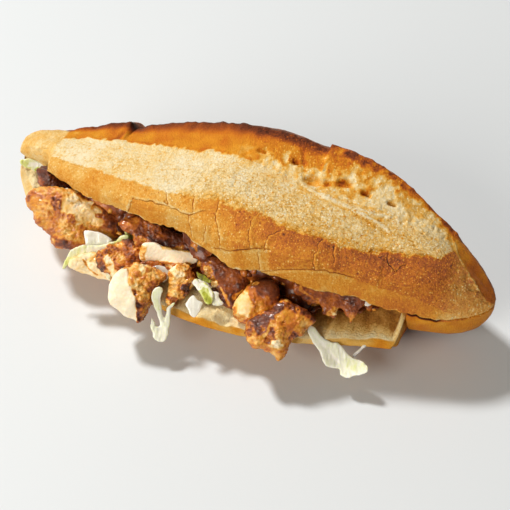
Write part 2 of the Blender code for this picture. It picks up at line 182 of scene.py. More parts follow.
# %% Smooth noise in space
def lattice(cell, seed):
    """A repeatable random number from -1 to 1 for each whole-number cell."""
    x, y, z = (cell[..., k].astype(np.int64) for k in range(3))
    h = (x * 73856093) ^ (y * 19349663) ^ (z * 83492791) ^ (seed * 2654435761)
    h = (h ^ (h >> 13)) * 1274126177 & 0x7FFFFFFF
    h = (h ^ (h >> 15)) * 73244475 & 0x7FFFFFFF
    return (h & 0xFFFF) / 32767.5 - 1.0


def noise(points, size, seed=0):
    """Smooth values from about -1 to 1 that change over about `size`, in the points' own unit."""
    p = np.asarray(points, float) / size
    cell = np.floor(p)
    f = p - cell
    w = f * f * f * (f * (f * 6 - 15) + 10)
    total = 0.0
    for dx in (0, 1):
        for dy in (0, 1):
            for dz in (0, 1):
                share = ((w[..., 0] if dx else 1 - w[..., 0]) * (w[..., 1] if dy else 1 - w[..., 1])
                         * (w[..., 2] if dz else 1 - w[..., 2]))
                total = total + share * lattice(cell + np.array([dx, dy, dz]), seed)
    return 1.6 * total


def layers(points, size, count, seed=0, keep=0.5):
    """Noise with `count` finer and weaker layers on top of each other."""
    total, weight = 0.0, 1.0
    for k in range(count):
        total = total + weight * noise(points, size / 2 ** k, seed + 7 * k)
        weight *= keep
    return total


def line_noise(u, size, seed):
    """Noise along the roll only, in millimetres of length for each wave."""
    at = np.stack([u * LENGTH_MM / 2, np.full_like(u, 3.7 * seed), np.zeros_like(u)], axis=-1)
    return noise(at, size, seed)


print("noise at a point:", round(float(noise(np.array([1.2, 3.4, 5.6]), 1.0)), 3))

# %% [markdown]
# ## The roll's form
#
# The baker shapes a spindle, slashes it lengthwise, and the oven lifts one side of the slash into
# an ear. Later a knife opens the front. So every cross-section has the same named edges: the upper
# lip of the cut, the shoulder where the smooth front skin ends, the foot of the ear, the ear's
# crest, the back, and the lower lip. Each edge is a curve along the roll, and the section is a
# smooth line through them that turns in at the lips and runs along the cut to its crease.

# %% The roll's named edges
LENGTH_MM = 280.0
MIDDLE_MM = np.array([0.52, -10.57, 0.0])  # from under the roll's axis to under the whole sandwich
TIP_LEFT_MM, TIP_RIGHT_MM = 44.0, 38.0
LID_TEAR, FLAP_TEAR, SLIT_END = -0.815, 0.695, 0.865
SLIT_MM, FLAP_MM = 1.8, 5.0
CREST = ((8, 14, 21, 25, 26, 25.5, 23, 16, 9), (66, 62, 70.5, 81, 91, 92.5, 86, 64.5, 45))
FOOT = ((3, 6, 8.5, 8.5, 8, 2.5, 3.5, 4.5, 3), (60, 61.5, 68.5, 77, 82, 80, 76, 63.5, 44))
SHOULDER = ((-4, -7, -14, -22, -22, -24, -18, -7, -2), (58, 60, 66.5, 73.5, 77.5, 74, 68.5, 64.5, 44))
UPPER = ((-8, -12.5, -23.5, -31, -36, -37, -31, -23, -12), (51, 53.5, 54, 57, 54, 50, 45, 36.5, 34))
LOWER = ((-12, -22, -39, -51, -56, -51.5, -39, -28, -12), (34, 30, 26, 24, 24, 24, 24, 25, 32))
BACK = ((14, 25, 38, 47, 50, 48, 42, 27, 15), (42, 40, 41, 43, 44, 45, 43, 38, 38))
DEPTH = (0.93, 0.86, 0.76, 0.74, 0.74, 0.72, 0.66, 0.45, 0.1)  # how far back the cut reaches
# the crest's steps: station, length and rise before it, length and rise after it
NOTCHES = ((-0.55, 0.12, 0.9, 0.22, -4.2), (0.265, 0.22, -3.0, 0.1, 0.0))
WAVES = ((-0.17, 0.13, -3.0), (0.075, 0.12, 4.0))  # the lip's waves: station, half length, reach


def edge(pair, u):
    return np.stack([along(pair[0], u), along(pair[1], u)], axis=-1)


def edges(u):
    """The named edges (y, z) at stations u."""
    keel = np.where(u < 0, 16.0 * ramp(-u, 0.5, 1.1), 4.5 * ramp(u, 0.45, 0.95))
    crest, foot, shoulder = edge(CREST, u), edge(FOOT, u), edge(SHOULDER, u)
    upper, flap, back = edge(UPPER, u), edge(LOWER, u), edge(BACK, u)
    for station, before, rise_before, after, rise_after in NOTCHES:
        past = ramp(u, station, station + 0.012)
        crest[:, 1] += rise_before * ramp(u, station - before, station) * (1 - past)
        crest[:, 1] += rise_after * past * (1 - ramp(u, station, station + after))
    for station, length, reach in WAVES:
        upper -= (0.7 * reach * bump(u, station, length))[:, None]
    torn = 1 - ramp(u, LID_TEAR - 0.012, LID_TEAR + 0.012)
    upper[:, 0] += 9.0 * torn
    upper[:, 1] -= 8.0 * torn
    shoulder[:, 0] += 3.6 * torn
    whole = ramp(u, FLAP_TEAR - 0.006, FLAP_TEAR + 0.006)
    flap[:, 0] += 8.5 * (1 - ramp(u, -1.0, -0.76))
    lower = mix(flap, upper + np.array([0.4, -SLIT_MM]), whole[:, None])
    lower += bump(u, FLAP_TEAR + 0.012, 0.012)[:, None] * np.array([7.0, -3.0])
    return {"keel": keel, "crest": crest, "foot": foot, "shoulder": shoulder, "upper": upper,
            "lower": lower, "back": back, "whole": whole}


# %% The section's control points
def outline(u):
    """Control points (y, z) of the sections at stations u, and how sharp each one is."""
    e = edges(u)
    upper, lower, back, whole, keel = e["upper"], e["lower"], e["back"], e["whole"], e["keel"]
    shoulder, foot, crest = e["shoulder"], e["foot"], e["crest"]
    lip = 1 - ramp(u, SLIT_END - 0.03, SLIT_END + 0.03)
    crisp = 1 - 0.7 * ramp(np.abs(u), 0.8, 0.98)
    zero = np.zeros_like(u)
    face = shoulder - upper
    bulge = mix(upper, shoulder, 0.5) + 0.16 * np.stack([-face[:, 1], face[:, 0]], axis=-1)
    strip = mix(shoulder, foot, 0.5) + np.array([0.0, 1.2])
    height = lower[:, 1] - keel
    belly = 9.0 * (1 - ramp(u, -0.95, -0.72))  # the bare left end swells out below its cut
    at = lambda y, z: np.stack([y, z], axis=-1)
    points = [
        (upper, lip), (bulge, zero), (shoulder, 0.8 * crisp), (strip, zero), (foot, crisp),
        (crest, 0.9 * crisp),
        (at(mix(crest[:, 0], back[:, 0], 0.8), mix(back[:, 1], crest[:, 1], 0.55)), zero),
        (back, zero),
        (at(0.92 * back[:, 0], mix(keel, back[:, 1], 0.38)), zero),
        (at(0.55 * back[:, 0], keel), zero),
        (at(0.10 * back[:, 0], keel), zero),
        (at(lower[:, 0] * mix(0.31, 0.05, whole), keel), zero),
        (at(lower[:, 0] * mix(0.54, 0.34, whole) - 0.7 * belly, keel + 0.18 * height), zero),
        (at(lower[:, 0] * mix(0.78, 0.68, whole) - belly, keel + 0.46 * height), zero),
        (at(lower[:, 0] + mix(-0.8, 1.6, whole) - belly, lower[:, 1] - FLAP_MM), zero),
        (lower, lip),
        (mix(lower, upper, 0.5) + np.stack([-3.0 * (1 - 0.8 * whole), zero], axis=-1), zero),
    ]
    return np.stack([p for p, _ in points], axis=1), np.stack([s for _, s in points], axis=1)


def cut_path(u):
    """The corners of the knife's cut, from the lower lip back to the crease and out again."""
    e = edges(u)
    upper, lower = e["upper"], e["lower"]
    closing = ramp(u, SLIT_END - 0.08, SLIT_END)
    front = mix(upper, lower, 0.5)
    depth = along(DEPTH, u) * (1 - 0.7 * closing)
    crease = np.stack([mix(front[:, 0], e["back"][:, 0], depth),
                       mix(front[:, 1], 40.0, 0.7 - 0.7 * closing)], axis=-1)
    height = (upper - lower)[:, 1]
    half = np.minimum(1.6, 0.14 * height)[:, None] * np.array([0.0, 1.0])
    back_off = (0.12 * (crease - front)[:, 0])[:, None] * np.array([1.0, 0.0])
    sag = (0.10 * height)[:, None] * np.array([0.0, 1.0])
    return np.stack([
        lower, mix(lower, crease, 0.35) - 0.5 * sag, mix(lower, crease, 0.7) - 0.8 * sag,
        crease - back_off - half, crease, crease - back_off + half,
        mix(upper, crease, 0.7) + 0.8 * sag, mix(upper, crease, 0.35) + 0.5 * sag, upper], axis=1)


print("control points in a section:", outline(np.array([0.0]))[0].shape[1])

# %% [markdown]
# ## The roll's skin
#
# A loft through the sections makes the skin: rings of points at many stations, joined by quads.
# The rings are closer together where the crust shows detail, and each point remembers its station
# and its girth, the number of the control point it lies by. Cracks, tears and browning are then
# placed by those two numbers, like latitude and longitude.

# %% Sections along the roll
STEPS = (22, 22, 26, 26, 30, 12, 16, 8, 10, 5, 5, 6, 8, 8, 8)  # points between control points
CUT_STEPS = 17  # points from a lip to the crease
STATION_COUNT = 400


def eased(slope, chord):
    """A slope no longer than its chord, so that a curve never loops between two close points."""
    size = np.linalg.norm(slope, axis=-1, keepdims=True) + 1e-9
    return slope * np.minimum(1.0, 1.1 * np.linalg.norm(chord, axis=-1, keepdims=True) / size)


def rings(u):
    """Every section's points (y, z) at stations u, and the girth number of each."""
    p, sharp = outline(u)
    n = p.shape[1]
    rows, girth = [], []
    for i in range(n):
        a, b = p[:, i], p[:, (i + 1) % n]
        chord = b - a
        out = mix(eased(0.5 * (b - p[:, i - 1]), chord), chord, sharp[:, i, None])
        into = mix(eased(0.5 * (p[:, (i + 2) % n] - a), chord), chord, sharp[:, (i + 1) % n, None])
        count = STEPS[i] if i < len(STEPS) else CUT_STEPS
        for k in range(count):
            t = k / count
            rows.append(hermite(a, out, b, into, t))
            girth.append(i + t)
    closed = np.stack(rows, axis=1)
    start = sum(STEPS)
    corners = cut_path(u)
    parts = corners.shape[1] - 1
    for k in range(2 * CUT_STEPS):
        t = k / CUT_STEPS
        s = 4 * (t ** 1.35 if t < 1 else 2 - (2 - t) ** 1.35)
        j = min(int(s), parts - 1)
        inside = mix(corners[:, j], corners[:, j + 1], s - j)
        shut = ramp(u, SLIT_END - 0.05, SLIT_END + 0.01)[:, None]
        closed[:, start + k] = mix(inside, closed[:, start + k], shut)
    return closed, np.array(girth)


def stations(count):
    """Stations from tip to tip, closer together near the tips and at the two tears."""
    s = np.linspace(-1, 1, 4001)
    near_tip = 2.2 * np.exp(-((1 - np.abs(s)) / 0.03))
    tears = 1.2 * hill(s - LID_TEAR, 0.02) + 1.2 * hill(s - FLAP_TEAR, 0.015)
    density = np.cumsum(1 + near_tip + tears)
    density = (density - density[0]) / (density[-1] - density[0])
    return np.interp(np.linspace(0, 1, count), density, s)


# %% Rounding the tips
def lobes(girth):
    """1 on the lid's part of a section, -1 on the lower part, and in between at the back."""
    outer = 1 - 2 * ramp(girth, 6.0, 9.0)
    inner = -1 + 2 * ramp(girth, 15.6, 16.4)
    return np.where(girth < 15, outer, inner)


def tapered(u, curves, girth):
    """Draws the sections in towards the tips. At the left one the lid and the base end apart."""
    share = np.sqrt(np.maximum(0.0, 1 - np.abs(u) ** 12))[:, None, None]
    left = (u < 0)[:, None]
    apart = np.where(lobes(girth) > 0, 3.0, 4.0)[None, :] * lobes(girth)[None, :] * left
    tip_z = np.where(left, TIP_LEFT_MM, TIP_RIGHT_MM) + apart
    tip_y = np.where(left, 2.0, 0.0)
    tip = np.stack(np.broadcast_arrays(tip_y, tip_z), axis=-1)
    return tip + (curves - tip) * share


# girth, half width in girth, and for y and z: the size of its waves and how far they reach
RAGGED = ((0, 0.3, 9.0, 0.5, 7.0, 0.6), (2, 0.22, 8.0, 0.8, 9.0, 0.2), (4, 0.25, 11.0, 0.8, 6.0, 0.3),
          (5, 0.3, 12.0, 0.2, 8.0, 0.45), (15, 0.5, 12.0, 0.9, 9.0, 0.6))


def ragged(u, girth, curves):
    """Makes the torn and baked edges uneven, each only close to its own girth."""
    inner = 1 - ramp(np.abs(u), 0.86, 0.95)
    whole = ramp(u, FLAP_TEAR - 0.006, FLAP_TEAR + 0.006)
    pushes = []
    for k, (_, _, y_size, y_reach, z_size, z_reach) in enumerate(RAGGED):
        waves = []
        for j, (size, reach) in enumerate(((y_size, y_reach), (z_size, z_reach))):
            wave = line_noise(u, size, 10 * k + j) + 0.6 * line_noise(u, size / 3.6, 10 * k + j + 2)
            waves.append(reach * inner * wave)
        pushes.append(np.stack(waves, axis=-1))
    pushes[-1] = mix(pushes[-1], pushes[0], whole[:, None])
    for (middle, half, *_), push in zip(RAGGED, pushes):
        away = np.minimum(np.abs(girth - middle), np.abs(girth - 17) + 17 * (middle > 0))
        near = 1 - ramp(away, 0.0, half)
        curves = curves + near[None, :, None] * push[:, None, :]
    return curves


def loaf_grid():
    """Stations, girths and the smooth skin's points in metres, without any relief."""
    u = stations(STATION_COUNT + 2)[1:-1]
    u = np.clip(u, -0.9975, 0.9992)
    curves, girth = rings(u)
    curves = tapered(u, ragged(u, girth, curves), girth)
    curves[:, :, 1] = np.maximum(curves[:, :, 1], 0.0)
    torn = (np.sin(3.1 * girth) + 0.7 * np.sin(7.3 * girth + 1.0)) * ramp(girth, 12.0, 13.0)
    x = (u * LENGTH_MM / 2)[:, None] + bump(u, FLAP_TEAR, 0.03)[:, None] * torn[None, :]
    points = np.stack([x, curves[:, :, 0], curves[:, :, 1]], axis=-1) - MIDDLE_MM
    return u, girth, points * MM


station, girth, skin = loaf_grid()
print("sections:", len(station), "points in each:", len(girth))

# %% [markdown]
# ## Cracks and tears in the crust
#
# As the roll cools its front skin breaks into plates, with thin cracks between them and slightly
# curled edges. A long crack also runs lengthwise where the skin met the next roll in the oven, and
# the skin below it is smoother and paler. Each crack is a short line of stations and girths; the
# distance from every point of the skin to the nearest crack then shapes and colours it.

# %% Places on the skin
# A place is (station, girth). Most places were looked up on the smooth skin with a separate helper.
# Girth numbers: 0 upper lip, 2 shoulder, 4 the ear's foot, 5 its crest, 7 the back, 9 to 11 the
# underside, 15 lower lip, and 17 is the upper lip again.
CRACKS = (
    ((-0.145, 2.38), (-0.134, 1.85), (-0.123, 1.32)),
    ((-0.035, 1.90), (-0.024, 1.27), (0.009, 0.91), (0.014, 0.55)),
    ((-0.057, 0.91), (-0.063, 0.20)),
    ((0.121, 2.05), (0.106, 1.55), (0.130, 0.93)),
    ((0.224, 1.80), (0.191, 1.55), (0.180, 1.32), (0.185, 0.97)),
    ((-0.261, 2.30), (-0.244, 1.73), (-0.222, 1.23)),
    ((-0.393, 0.05), (-0.382, 1.09), (-0.31, 1.27), (-0.233, 1.27)),
    ((-0.222, 1.23), (-0.134, 1.05), (-0.079, 1.50)),
    ((-0.134, 1.05), (-0.112, 0.18)),
    ((0.372, 1.97), (0.362, 1.40), (0.374, 0.90)),
    ((0.422, 1.90), (0.433, 1.27)),
    ((0.606, 2.0), (0.612, 1.70), (0.647, 1.41), (0.668, 1.60)),
    ((0.158, 0.77), (0.174, 0.05)),
)
LONG_CRACKS = (  # lengthwise: the skin below them is smoother
    ((-0.013, 0.23), (0.025, 0.45), (0.092, 0.73), (0.147, 0.91), (0.20, 1.03)),
    ((0.18, 0.05), (0.284, 0.55), (0.36, 0.80), (0.416, 0.93), (0.466, 0.91), (0.51, 0.91)),
)


def on_skin(u, v):
    """The point of the smooth skin at station u and girth v, in metres."""
    i = np.interp(u, station, np.arange(len(station)))
    j = np.interp(v, girth, np.arange(len(girth)))
    a, b = min(int(i), len(station) - 2), min(int(j), len(girth) - 2)
    s, t = i - a, j - b
    return mix(mix(skin[a, b], skin[a + 1, b], s), mix(skin[a, b + 1], skin[a + 1, b + 1], s), t)


def distance_mm(points, line):
    """How far each point is from a line of (station, girth) places, in millimetres."""
    corners = [on_skin(u, v) for u, v in line]
    best = np.full(points.shape[:-1], 1e9)
    for a, b in zip(corners, corners[1:]):
        way = b - a
        t = np.clip(((points - a) @ way) / (way @ way), 0, 1)
        away = points - a - t[..., None] * way
        side = np.sign(np.sum(np.cross(way, away) * way_out, axis=-1))
        size = np.linalg.norm(away, axis=-1)
        best = np.where(size < np.abs(best), size * side, best)
    return best / MM


def nearest(points, lines):
    """The distance to the nearest line, below zero on one side of it."""
    best = np.full(points.shape[:-1], 1e9)
    for line in lines:
        away = distance_mm(points, line)
        best = np.where(np.abs(away) < np.abs(best), away, best)
    return best


def normals_of(grid):
    """Outward normals of a grid whose rings are closed."""
    du = np.gradient(grid, axis=0)
    dv = np.roll(grid, -1, axis=1) - np.roll(grid, 1, axis=1)
    n = np.cross(du, dv)
    return n / (np.linalg.norm(n, axis=-1, keepdims=True) + 1e-12)


way_out = normals_of(skin)
U, V = np.meshgrid(station, girth, indexing="ij")
at_mm = skin / MM
wander = np.stack([noise(at_mm, 3.0, 40 + k) for k in range(3)], axis=-1) * 0.5 * MM
crack_side = nearest(skin + wander, CRACKS)
long_side = nearest(skin + 0.7 * wander, LONG_CRACKS)
crack, long_crack = np.abs(crack_side), np.abs(long_side)
split_side = np.where(crack < long_crack, crack_side, long_side)
print("points within a millimetre of a crack:", int((np.abs(split_side) < 1).sum()))

# %% Regions of the skin
lower_edge = np.interp(station, (-0.02, 0.09, 0.2, 0.21, 0.28, 0.42, 0.51, 0.62, 0.75, 0.9),
                       (0.15, 0.73, 1.03, 0.15, 0.55, 0.93, 0.91, 0.75, 0.7, 0.2))[:, None]
front_top = np.interp(station, (-1, 0.70, 0.786, 0.815, 0.857, 0.894, 0.937, 1.0),
                      (2.0, 1.93, 2.0, 4.1, 3.15, 2.38, 1.82, 1.2))[:, None]
ear_foot = np.where(station[:, None] > 0.815, front_top, 4.0)
rough_v = V + 0.05 * noise(at_mm, 4.0, 50) + 0.035 * noise(at_mm, 1.5, 51)
above = lambda border: ramp(rough_v - border, -0.05, 0.05)
tip = ramp(np.abs(U), 0.84, 0.95)
cap = 1 - ramp(U + 0.006 * noise(at_mm, 5.0, 52), -0.812, -0.796)  # the bare knob at the left
closed_end = (V >= 15) * ramp(U, SLIT_END - 0.05, SLIT_END)
front = (ramp(rough_v, -0.1, 0.05) * (1 - above(front_top)) * (V < 6) + closed_end) * (1 - cap)
strip = above(front_top) * (1 - above(ear_foot)) * (V < 8) * (1 - cap)
ear = above(ear_foot) * (1 - ramp(V, 4.97, 5.02)) * (1 - cap)
rim = ear * ramp(U, 0.79, 0.83)
knob_skin = cap * (1 - ramp(V, 4.9, 5.1))
back = ramp(V, 4.97, 5.02) * (1 - ramp(V, 8.5, 9.0))
under = ramp(V, 8.5, 9.0) * (1 - ramp(V, 11.8, 12.3))
base = ramp(V, 11.8, 12.3) * (V < 15)
cut = (V >= 15) * (1 - ramp(U, SLIT_END - 0.05, SLIT_END))
lip_band = front * (V < lower_edge) * (U > -0.02) * (1 - tip)
tear = ear * ramp(U, -0.12, 0.12) * (1 - rim)  # the ear's torn pale right half
print("regions:", {name: int((mask > 0.5).sum()) for name, mask in
                   {"front": front, "strip": strip, "ear": ear, "cut": cut, "tear": tear}.items()})

# %% [markdown]
# ## Relief and browning
#
# The relief is a height in millimetres at every point, moved along the skin's normal: broad lumps,
# crack grooves with curled rims, wrinkles on the floury strip, pulled strings of crumb in the torn
# slash. The browning is one number from 0, pale dough, to 1, charred: it is high where the skin
# sticks out into the oven's heat, low in cracks and folds that opened late. It also holds painted
# light: paler rims on one side of each front crack and on the ridge tops are painted highlights, and
# darker tone in the ear's creases, the crumb's holes, the cut crumb under the lid and the closed slit
# is painted shade.

# %% Relief


def ridge(value):
    """Highest where the value is 0, so that noise becomes a net of thin ridges."""
    return 1 - np.abs(value)


slope_way = np.stack([at_mm[..., 0], 0.55 * at_mm[..., 1], 0.55 * at_mm[..., 2]], axis=-1)
strings = ridge(layers(slope_way, 4.5, 3, 60, 0.6))
lumps = layers(at_mm, 42.0, 2, 62)
fissures = ramp(ridge(noise(at_mm, 5.0, 63) + 0.5 * noise(at_mm, 2.0, 64)), 0.90, 1.0)
# the crumb's large holes: station, girth, radius in mm
PORES = ((0.257, 4.16, 3.4), (0.372, 4.32, 2.8), (0.174, 4.38, 1.8), (0.031, 4.34, 1.6),
         (-0.03, 4.2, 2.0), (0.46, 4.25, 1.6), (0.31, 4.2, 1.5), (0.56, 4.3, 1.4))
pore = np.zeros_like(U)
for u_place, v_place, radius in PORES:
    away = skin - on_skin(u_place, v_place)
    wide = np.linalg.norm(away * np.array([0.6, 1.0, 1.0]), axis=-1) / MM
    pore = np.maximum(pore, 1 - ramp(wide + 0.5 * noise(at_mm, 2.0, 59), 0.45 * radius, 1.1 * radius))
CREASES = (((-0.545, 5.02), (-0.558, 4.5), (-0.574, 4.05)), ((0.178, 4.7), (0.202, 4.45), (0.218, 4.1)))
crease = np.abs(nearest(skin + wander, CREASES))
RIDGES = (((0.224, 4.0), (0.301, 3.81), (0.40, 3.69), (0.50, 3.74), (0.559, 3.85)),
          ((0.44, 3.60), (0.526, 3.35), (0.587, 3.19)))
fold = np.abs(nearest(skin + wander, RIDGES))  # long low ridges where the strip meets the torn crumb
TIDE = ((0.806, 4.5), (0.819, 4.17), (0.857, 3.15), (0.894, 2.38), (0.937, 1.82))
tide = np.abs(nearest(skin + wander, (TIDE,)))  # the thin pale ridge round the right knob
relief = 0.55 * lumps * (1 - cut)
relief += front * (-0.40 * hill(crack, 0.7) + 0.45 * hill(crack_side - 1.0, 1.1))
relief += front * (-0.45 * hill(long_crack, 0.7))
relief += 0.40 * front * ramp(V, lower_edge, lower_edge + 0.12) * (U > -0.02) * (U < 0.6) * (1 - tip)
relief += strip * (0.10 * layers(at_mm, 4.0, 3, 65, 0.7) - 0.30 * fissures
                   + 0.55 * hill(fold, 1.1))
relief += (front + knob_skin) * 0.07 * layers(at_mm, 3.0, 2, 58)
relief += ear * (1 - tear) * (0.16 * layers(slope_way, 6.0, 3, 66, 0.6))
lace = layers(at_mm, 2.6, 2, 57, 0.7)  # the torn crumb's small bubbles
relief += tear * (0.35 * (strings - 0.75) - 0.5) * bump(V, 4.35, 0.75) - 2.4 * tear * pore
relief += tear * bump(V, 4.45, 0.5) * (0.35 * lace - 0.5 * ramp(lace, 0.3, 0.9))
relief -= 0.9 * ear * hill(crease, 1.1)
relief += 0.5 * hill(tide, 0.8) * (V < 8)
relief += 0.6 * bump(V, 4.03, 0.09) * ramp(U, 0.25, 0.4) * (1 - ramp(U, 0.76, 0.81))
relief += 0.35 * bump(V, 5.0, 0.35) * layers(at_mm, 6.0, 2, 68) * (1 - tip)
relief += cut * (0.8 * layers(at_mm, 5.0, 3, 69, 0.6))
relief += (base + under + back) * 0.15 * noise(at_mm, 5.0, 70)
knob = ramp(U, 0.80, 0.9) * (V < 6)
radial = noise(np.stack([tide * 0.15, at_mm[..., 1] - 0.7 * at_mm[..., 0], at_mm[..., 2]], axis=-1), 1.8, 71)
relief += knob * front * 0.16 * layers(at_mm, 2.2, 2, 72)
relief += knob * front * 0.40 * radial * hill(tide, 9.0)
fade = 1 - 0.85 * np.maximum(bump(V, 15.0, 0.25), np.maximum(bump(V, 0.0, 0.1), bump(V, 17.0, 0.15)))
relief *= fade
print("relief in mm from", round(float(relief.min()), 2), "to", round(float(relief.max()), 2))

# %% Browning
grainy = layers(at_mm, 9.0, 3, 80)
cloud = layers(at_mm, 32.0, 2, 81)
rise = np.clip(V - 4.0, 0, 1)
bake = np.zeros_like(U)
bake += front * (0.38 + 0.05 * cloud + 0.03 * grainy + 0.08 * ramp(U, -0.32, 0.05)
                 + 0.16 * ramp(U, 0.15, 0.6) - 0.13 * ramp(U, 0.74, 0.88) - 0.05 * bump(U, -0.1, 0.3))
bake += front * 0.09 * ramp(V, 0.9, 1.9) * ramp(U, -0.3, 0.1) * (1 - knob)
bake -= lip_band * mix(0.03, 0.12, ramp(U, -0.08, 0.14))
bake += front * 0.12 * bump(U, 0.10, 0.07) * (1 - ramp(V, 0.8, 1.05))
bake += front * 0.06 * ramp(U, -0.393, -0.38) * (1 - ramp(U, -0.235, -0.22)) * (1 - ramp(V, 1.05, 1.25))
# painted highlight: the crust is paler just beside each front crack, on one side only, the side the key
# light catches
bake -= front * 0.14 * hill(crack_side - 0.9, 0.5)
bake -= front * 0.10 * hill(long_crack - 1.1, 0.6)
bake += knob_skin * (0.31 + 0.06 * cloud + 0.04 * grainy)
bake += strip * (0.12 + 0.04 * cloud + 0.03 * grainy + 0.03 * ramp(U, -0.45, 0.1) + 0.20 * fissures
                 + 0.04 * ramp(U, 0.45, 0.6)
                 # painted highlight: paler along the tops of the long ridges, with a browner band beside
                 # them
                 - 0.12 * hill(fold, 1.2) + 0.12 * hill(fold - 2.4, 1.2)
                 + 0.05 * ramp(U, 0.5, 0.8) * (1 - ramp(V, 2.1, 3.4))
                 + 0.12 * bump(V, 2.0, 0.35) * (U > -0.2))
bake += (ear - tear - rim) * (0.47 + 0.05 * grainy + 0.42 * ramp(rise, 0.5, 1.02)
                              + 0.08 * bump(V, 4.02, 0.12) + 0.13 * bump(U, -0.60, 0.07))
bake -= ear * 0.5 * np.clip(bake - 0.74, 0, 1)
golden = rise + 0.13 * grainy + 0.10 * (strings - 0.8) - 0.05
torn = (0.20 + 0.08 * grainy + 0.12 * lace + 0.20 * ramp(golden, 0.15, 0.5)
        + 0.22 * (1 - ramp(U, 0.1, 0.35)) * ramp(golden, 0.05, 0.3) - 0.06 * ramp(U, 0.25, 0.4)
        - 0.12 * ramp(U, 0.45, 0.7) * ramp(lace + grainy, 0.2, 0.9) * (1 - ramp(golden, 0.4, 0.7)))
bake += tear * (np.clip(torn + 0.05 * bump(U, 0.22, 0.1), 0.11, 0.5)
                + 0.34 * ramp(rise + 0.06 * grainy, 0.66, 0.92))
past_tear = ramp(U, FLAP_TEAR - 0.002, FLAP_TEAR + 0.008)
# the cut crumb browns towards the right, partly sauce stain and partly painted shade under the lid; past the
# flap's tear the closed slit's faces are painted dark brown, a painted shadow inside the slit
bake += cut * mix(0.55 * ramp(U, 0.12, 0.36) * ramp(V, 15.02, 15.3), 0.9, past_tear)
torn_end = bump(U, FLAP_TEAR + 0.001, 0.009) * ramp(V, 12.8, 13.4) * (V < 16.0)
# painted shade: the crumb's large holes are browner, for the shade inside them
bake += 0.22 * tear * pore
# painted shade: darker along the ears' creases, for the shadow line where one ear steps over the next
bake += 0.16 * ear * hill(crease, 1.0)
bake += rim * (0.50 + 0.06 * grainy)
bake += back * (0.72 - 0.14 * ramp(U, 0.75, 0.9) + 0.08 * cloud + 0.18 * bump(V, 5.0, 0.4)
                - 0.16 * ramp(V, 5.6, 8.5))
lower_side = (0.44 + 0.06 * cloud + 0.04 * grainy + 0.05 * ramp(U, 0.5, 0.8) - 0.14 * ramp(-U, 0.7, 0.85)
              - 0.13 * ramp(V, 13.4, 14.5) * (1 - past_tear) - 0.03 * past_tear)
bake += under * (0.60 + 0.06 * cloud) + base * lower_side
bake = mix(bake, 0.1, torn_end)
bake += knob * front * (0.07 * radial * hill(tide, 9.0) - 0.10)
dust = ramp(layers(at_mm, 14.0, 3, 84, 0.6), -0.5, 1.0)
bake -= 0.14 * dust * (back * ramp(V, 5.2, 6.0) + under)
bake = mix(bake, 0.14, 0.8 * hill(tide, 0.7) * (V < 8))
bake += tip * (U > 0) * (V < 15) * 0.03
print("browning from", round(float(bake.min()), 2), "to", round(float(bake.max()), 2))

# %% Build the roll's mesh
def set_value(mesh, name, values):
    """Stores one number for each point of the mesh, under a name that a node tree can read."""
    attribute = mesh.attributes.get(name) or mesh.attributes.new(name, "FLOAT", "POINT")
    attribute.data.foreach_set("value", np.asarray(values, np.float32).ravel())


def tube_mesh(name, grid, values):
    """A closed mesh from rings of points, with flat caps, and named values at its points."""
    n, m = grid.shape[:2]
    i, j = np.meshgrid(np.arange(n - 1), np.arange(m), indexing="ij")
    a, b = i * m + j, (i + 1) * m + j
    c, d = (i + 1) * m + (j + 1) % m, i * m + (j + 1) % m
    quads = np.stack([a, b, c, d], axis=-1).reshape(-1, 4)
    faces = quads.tolist() + [list(range(m)), [(n - 1) * m + k for k in range(m)][::-1]]
    mesh = bpy.data.meshes.new(name)
    mesh.from_pydata(grid.reshape(-1, 3).tolist(), [], faces)
    for key, field in values.items():
        set_value(mesh, key, field)
    return mesh


loaf_grid_points = skin + way_out * (relief * MM)[..., None]
loaf_grid_points[..., 2] = np.maximum(loaf_grid_points[..., 2], 0.0)
dusty = 0.03 * front * (1 - tip) + 0.08 * knob * front + 0.05 * knob_skin + 0.08 * back
dry = (strip * (1 - 0.8 * ramp(V, 2.9, 3.8)) * mix(0.35, 0.8, ramp(U, -0.45, 0.0))
       + 0.2 * front + 0.25 * back)
sandy = (strip * mix(0.45, 0.8, ramp(U, -0.3, 0.3))
         + (mix(0.5, 0.9, ramp(U, -0.2, 0.2)) * front + 0.4 * knob_skin) * (1 - 0.5 * lip_band)
         + 0.5 * back + 0.6 * tear)
semolina_cover = (0.4 * strip * ramp(U, -0.3, 0.3) + front * ramp(U, -0.1, 0.3) * (1 - 0.9 * lip_band)
                  + 0.25 * front)
loaf_mesh = tube_mesh("roll", loaf_grid_points, {
    "bake": bake, "crumb": np.clip(cut * (1 - past_tear) + torn_end, 0, 1), "dusty": dusty, "dry": dry,
    "grain": np.clip(sandy, 0, 1), "split": np.clip(split_side, -2.5, 2.5),
    "split_on": front * (1 - ramp(np.abs(split_side), 1.2, 1.9)),
    "cover": np.clip(semolina_cover, 0, 1) * (1 - closed_end)})
roll = shown("roll", loaf_mesh)
mesh = bmesh.new()
mesh.from_mesh(loaf_mesh)
bmesh.ops.triangulate(mesh, faces=[f for f in mesh.faces if len(f.verts) > 4])
print("signed volume, cm3:", round(mesh.calc_volume(signed=True) * 1e6, 1),
      "open edges:", sum(len(e.link_faces) != 2 for e in mesh.edges))
mesh.to_mesh(loaf_mesh)
mesh.free()
loaf_mesh.shade_smooth()

# %% [markdown]
# ## Finishes made of shared effects
#
# Every surface here is grainy at some scale, and most carry small specks. So grain and specks are
# two node groups with named inputs, built once and used in each finish with its own values. A
# finish reads the browning stored at the points, adds finer grain to it, and looks the colour up on
# a ramp, the way dough, crust and meat all darken along one path as they cook.

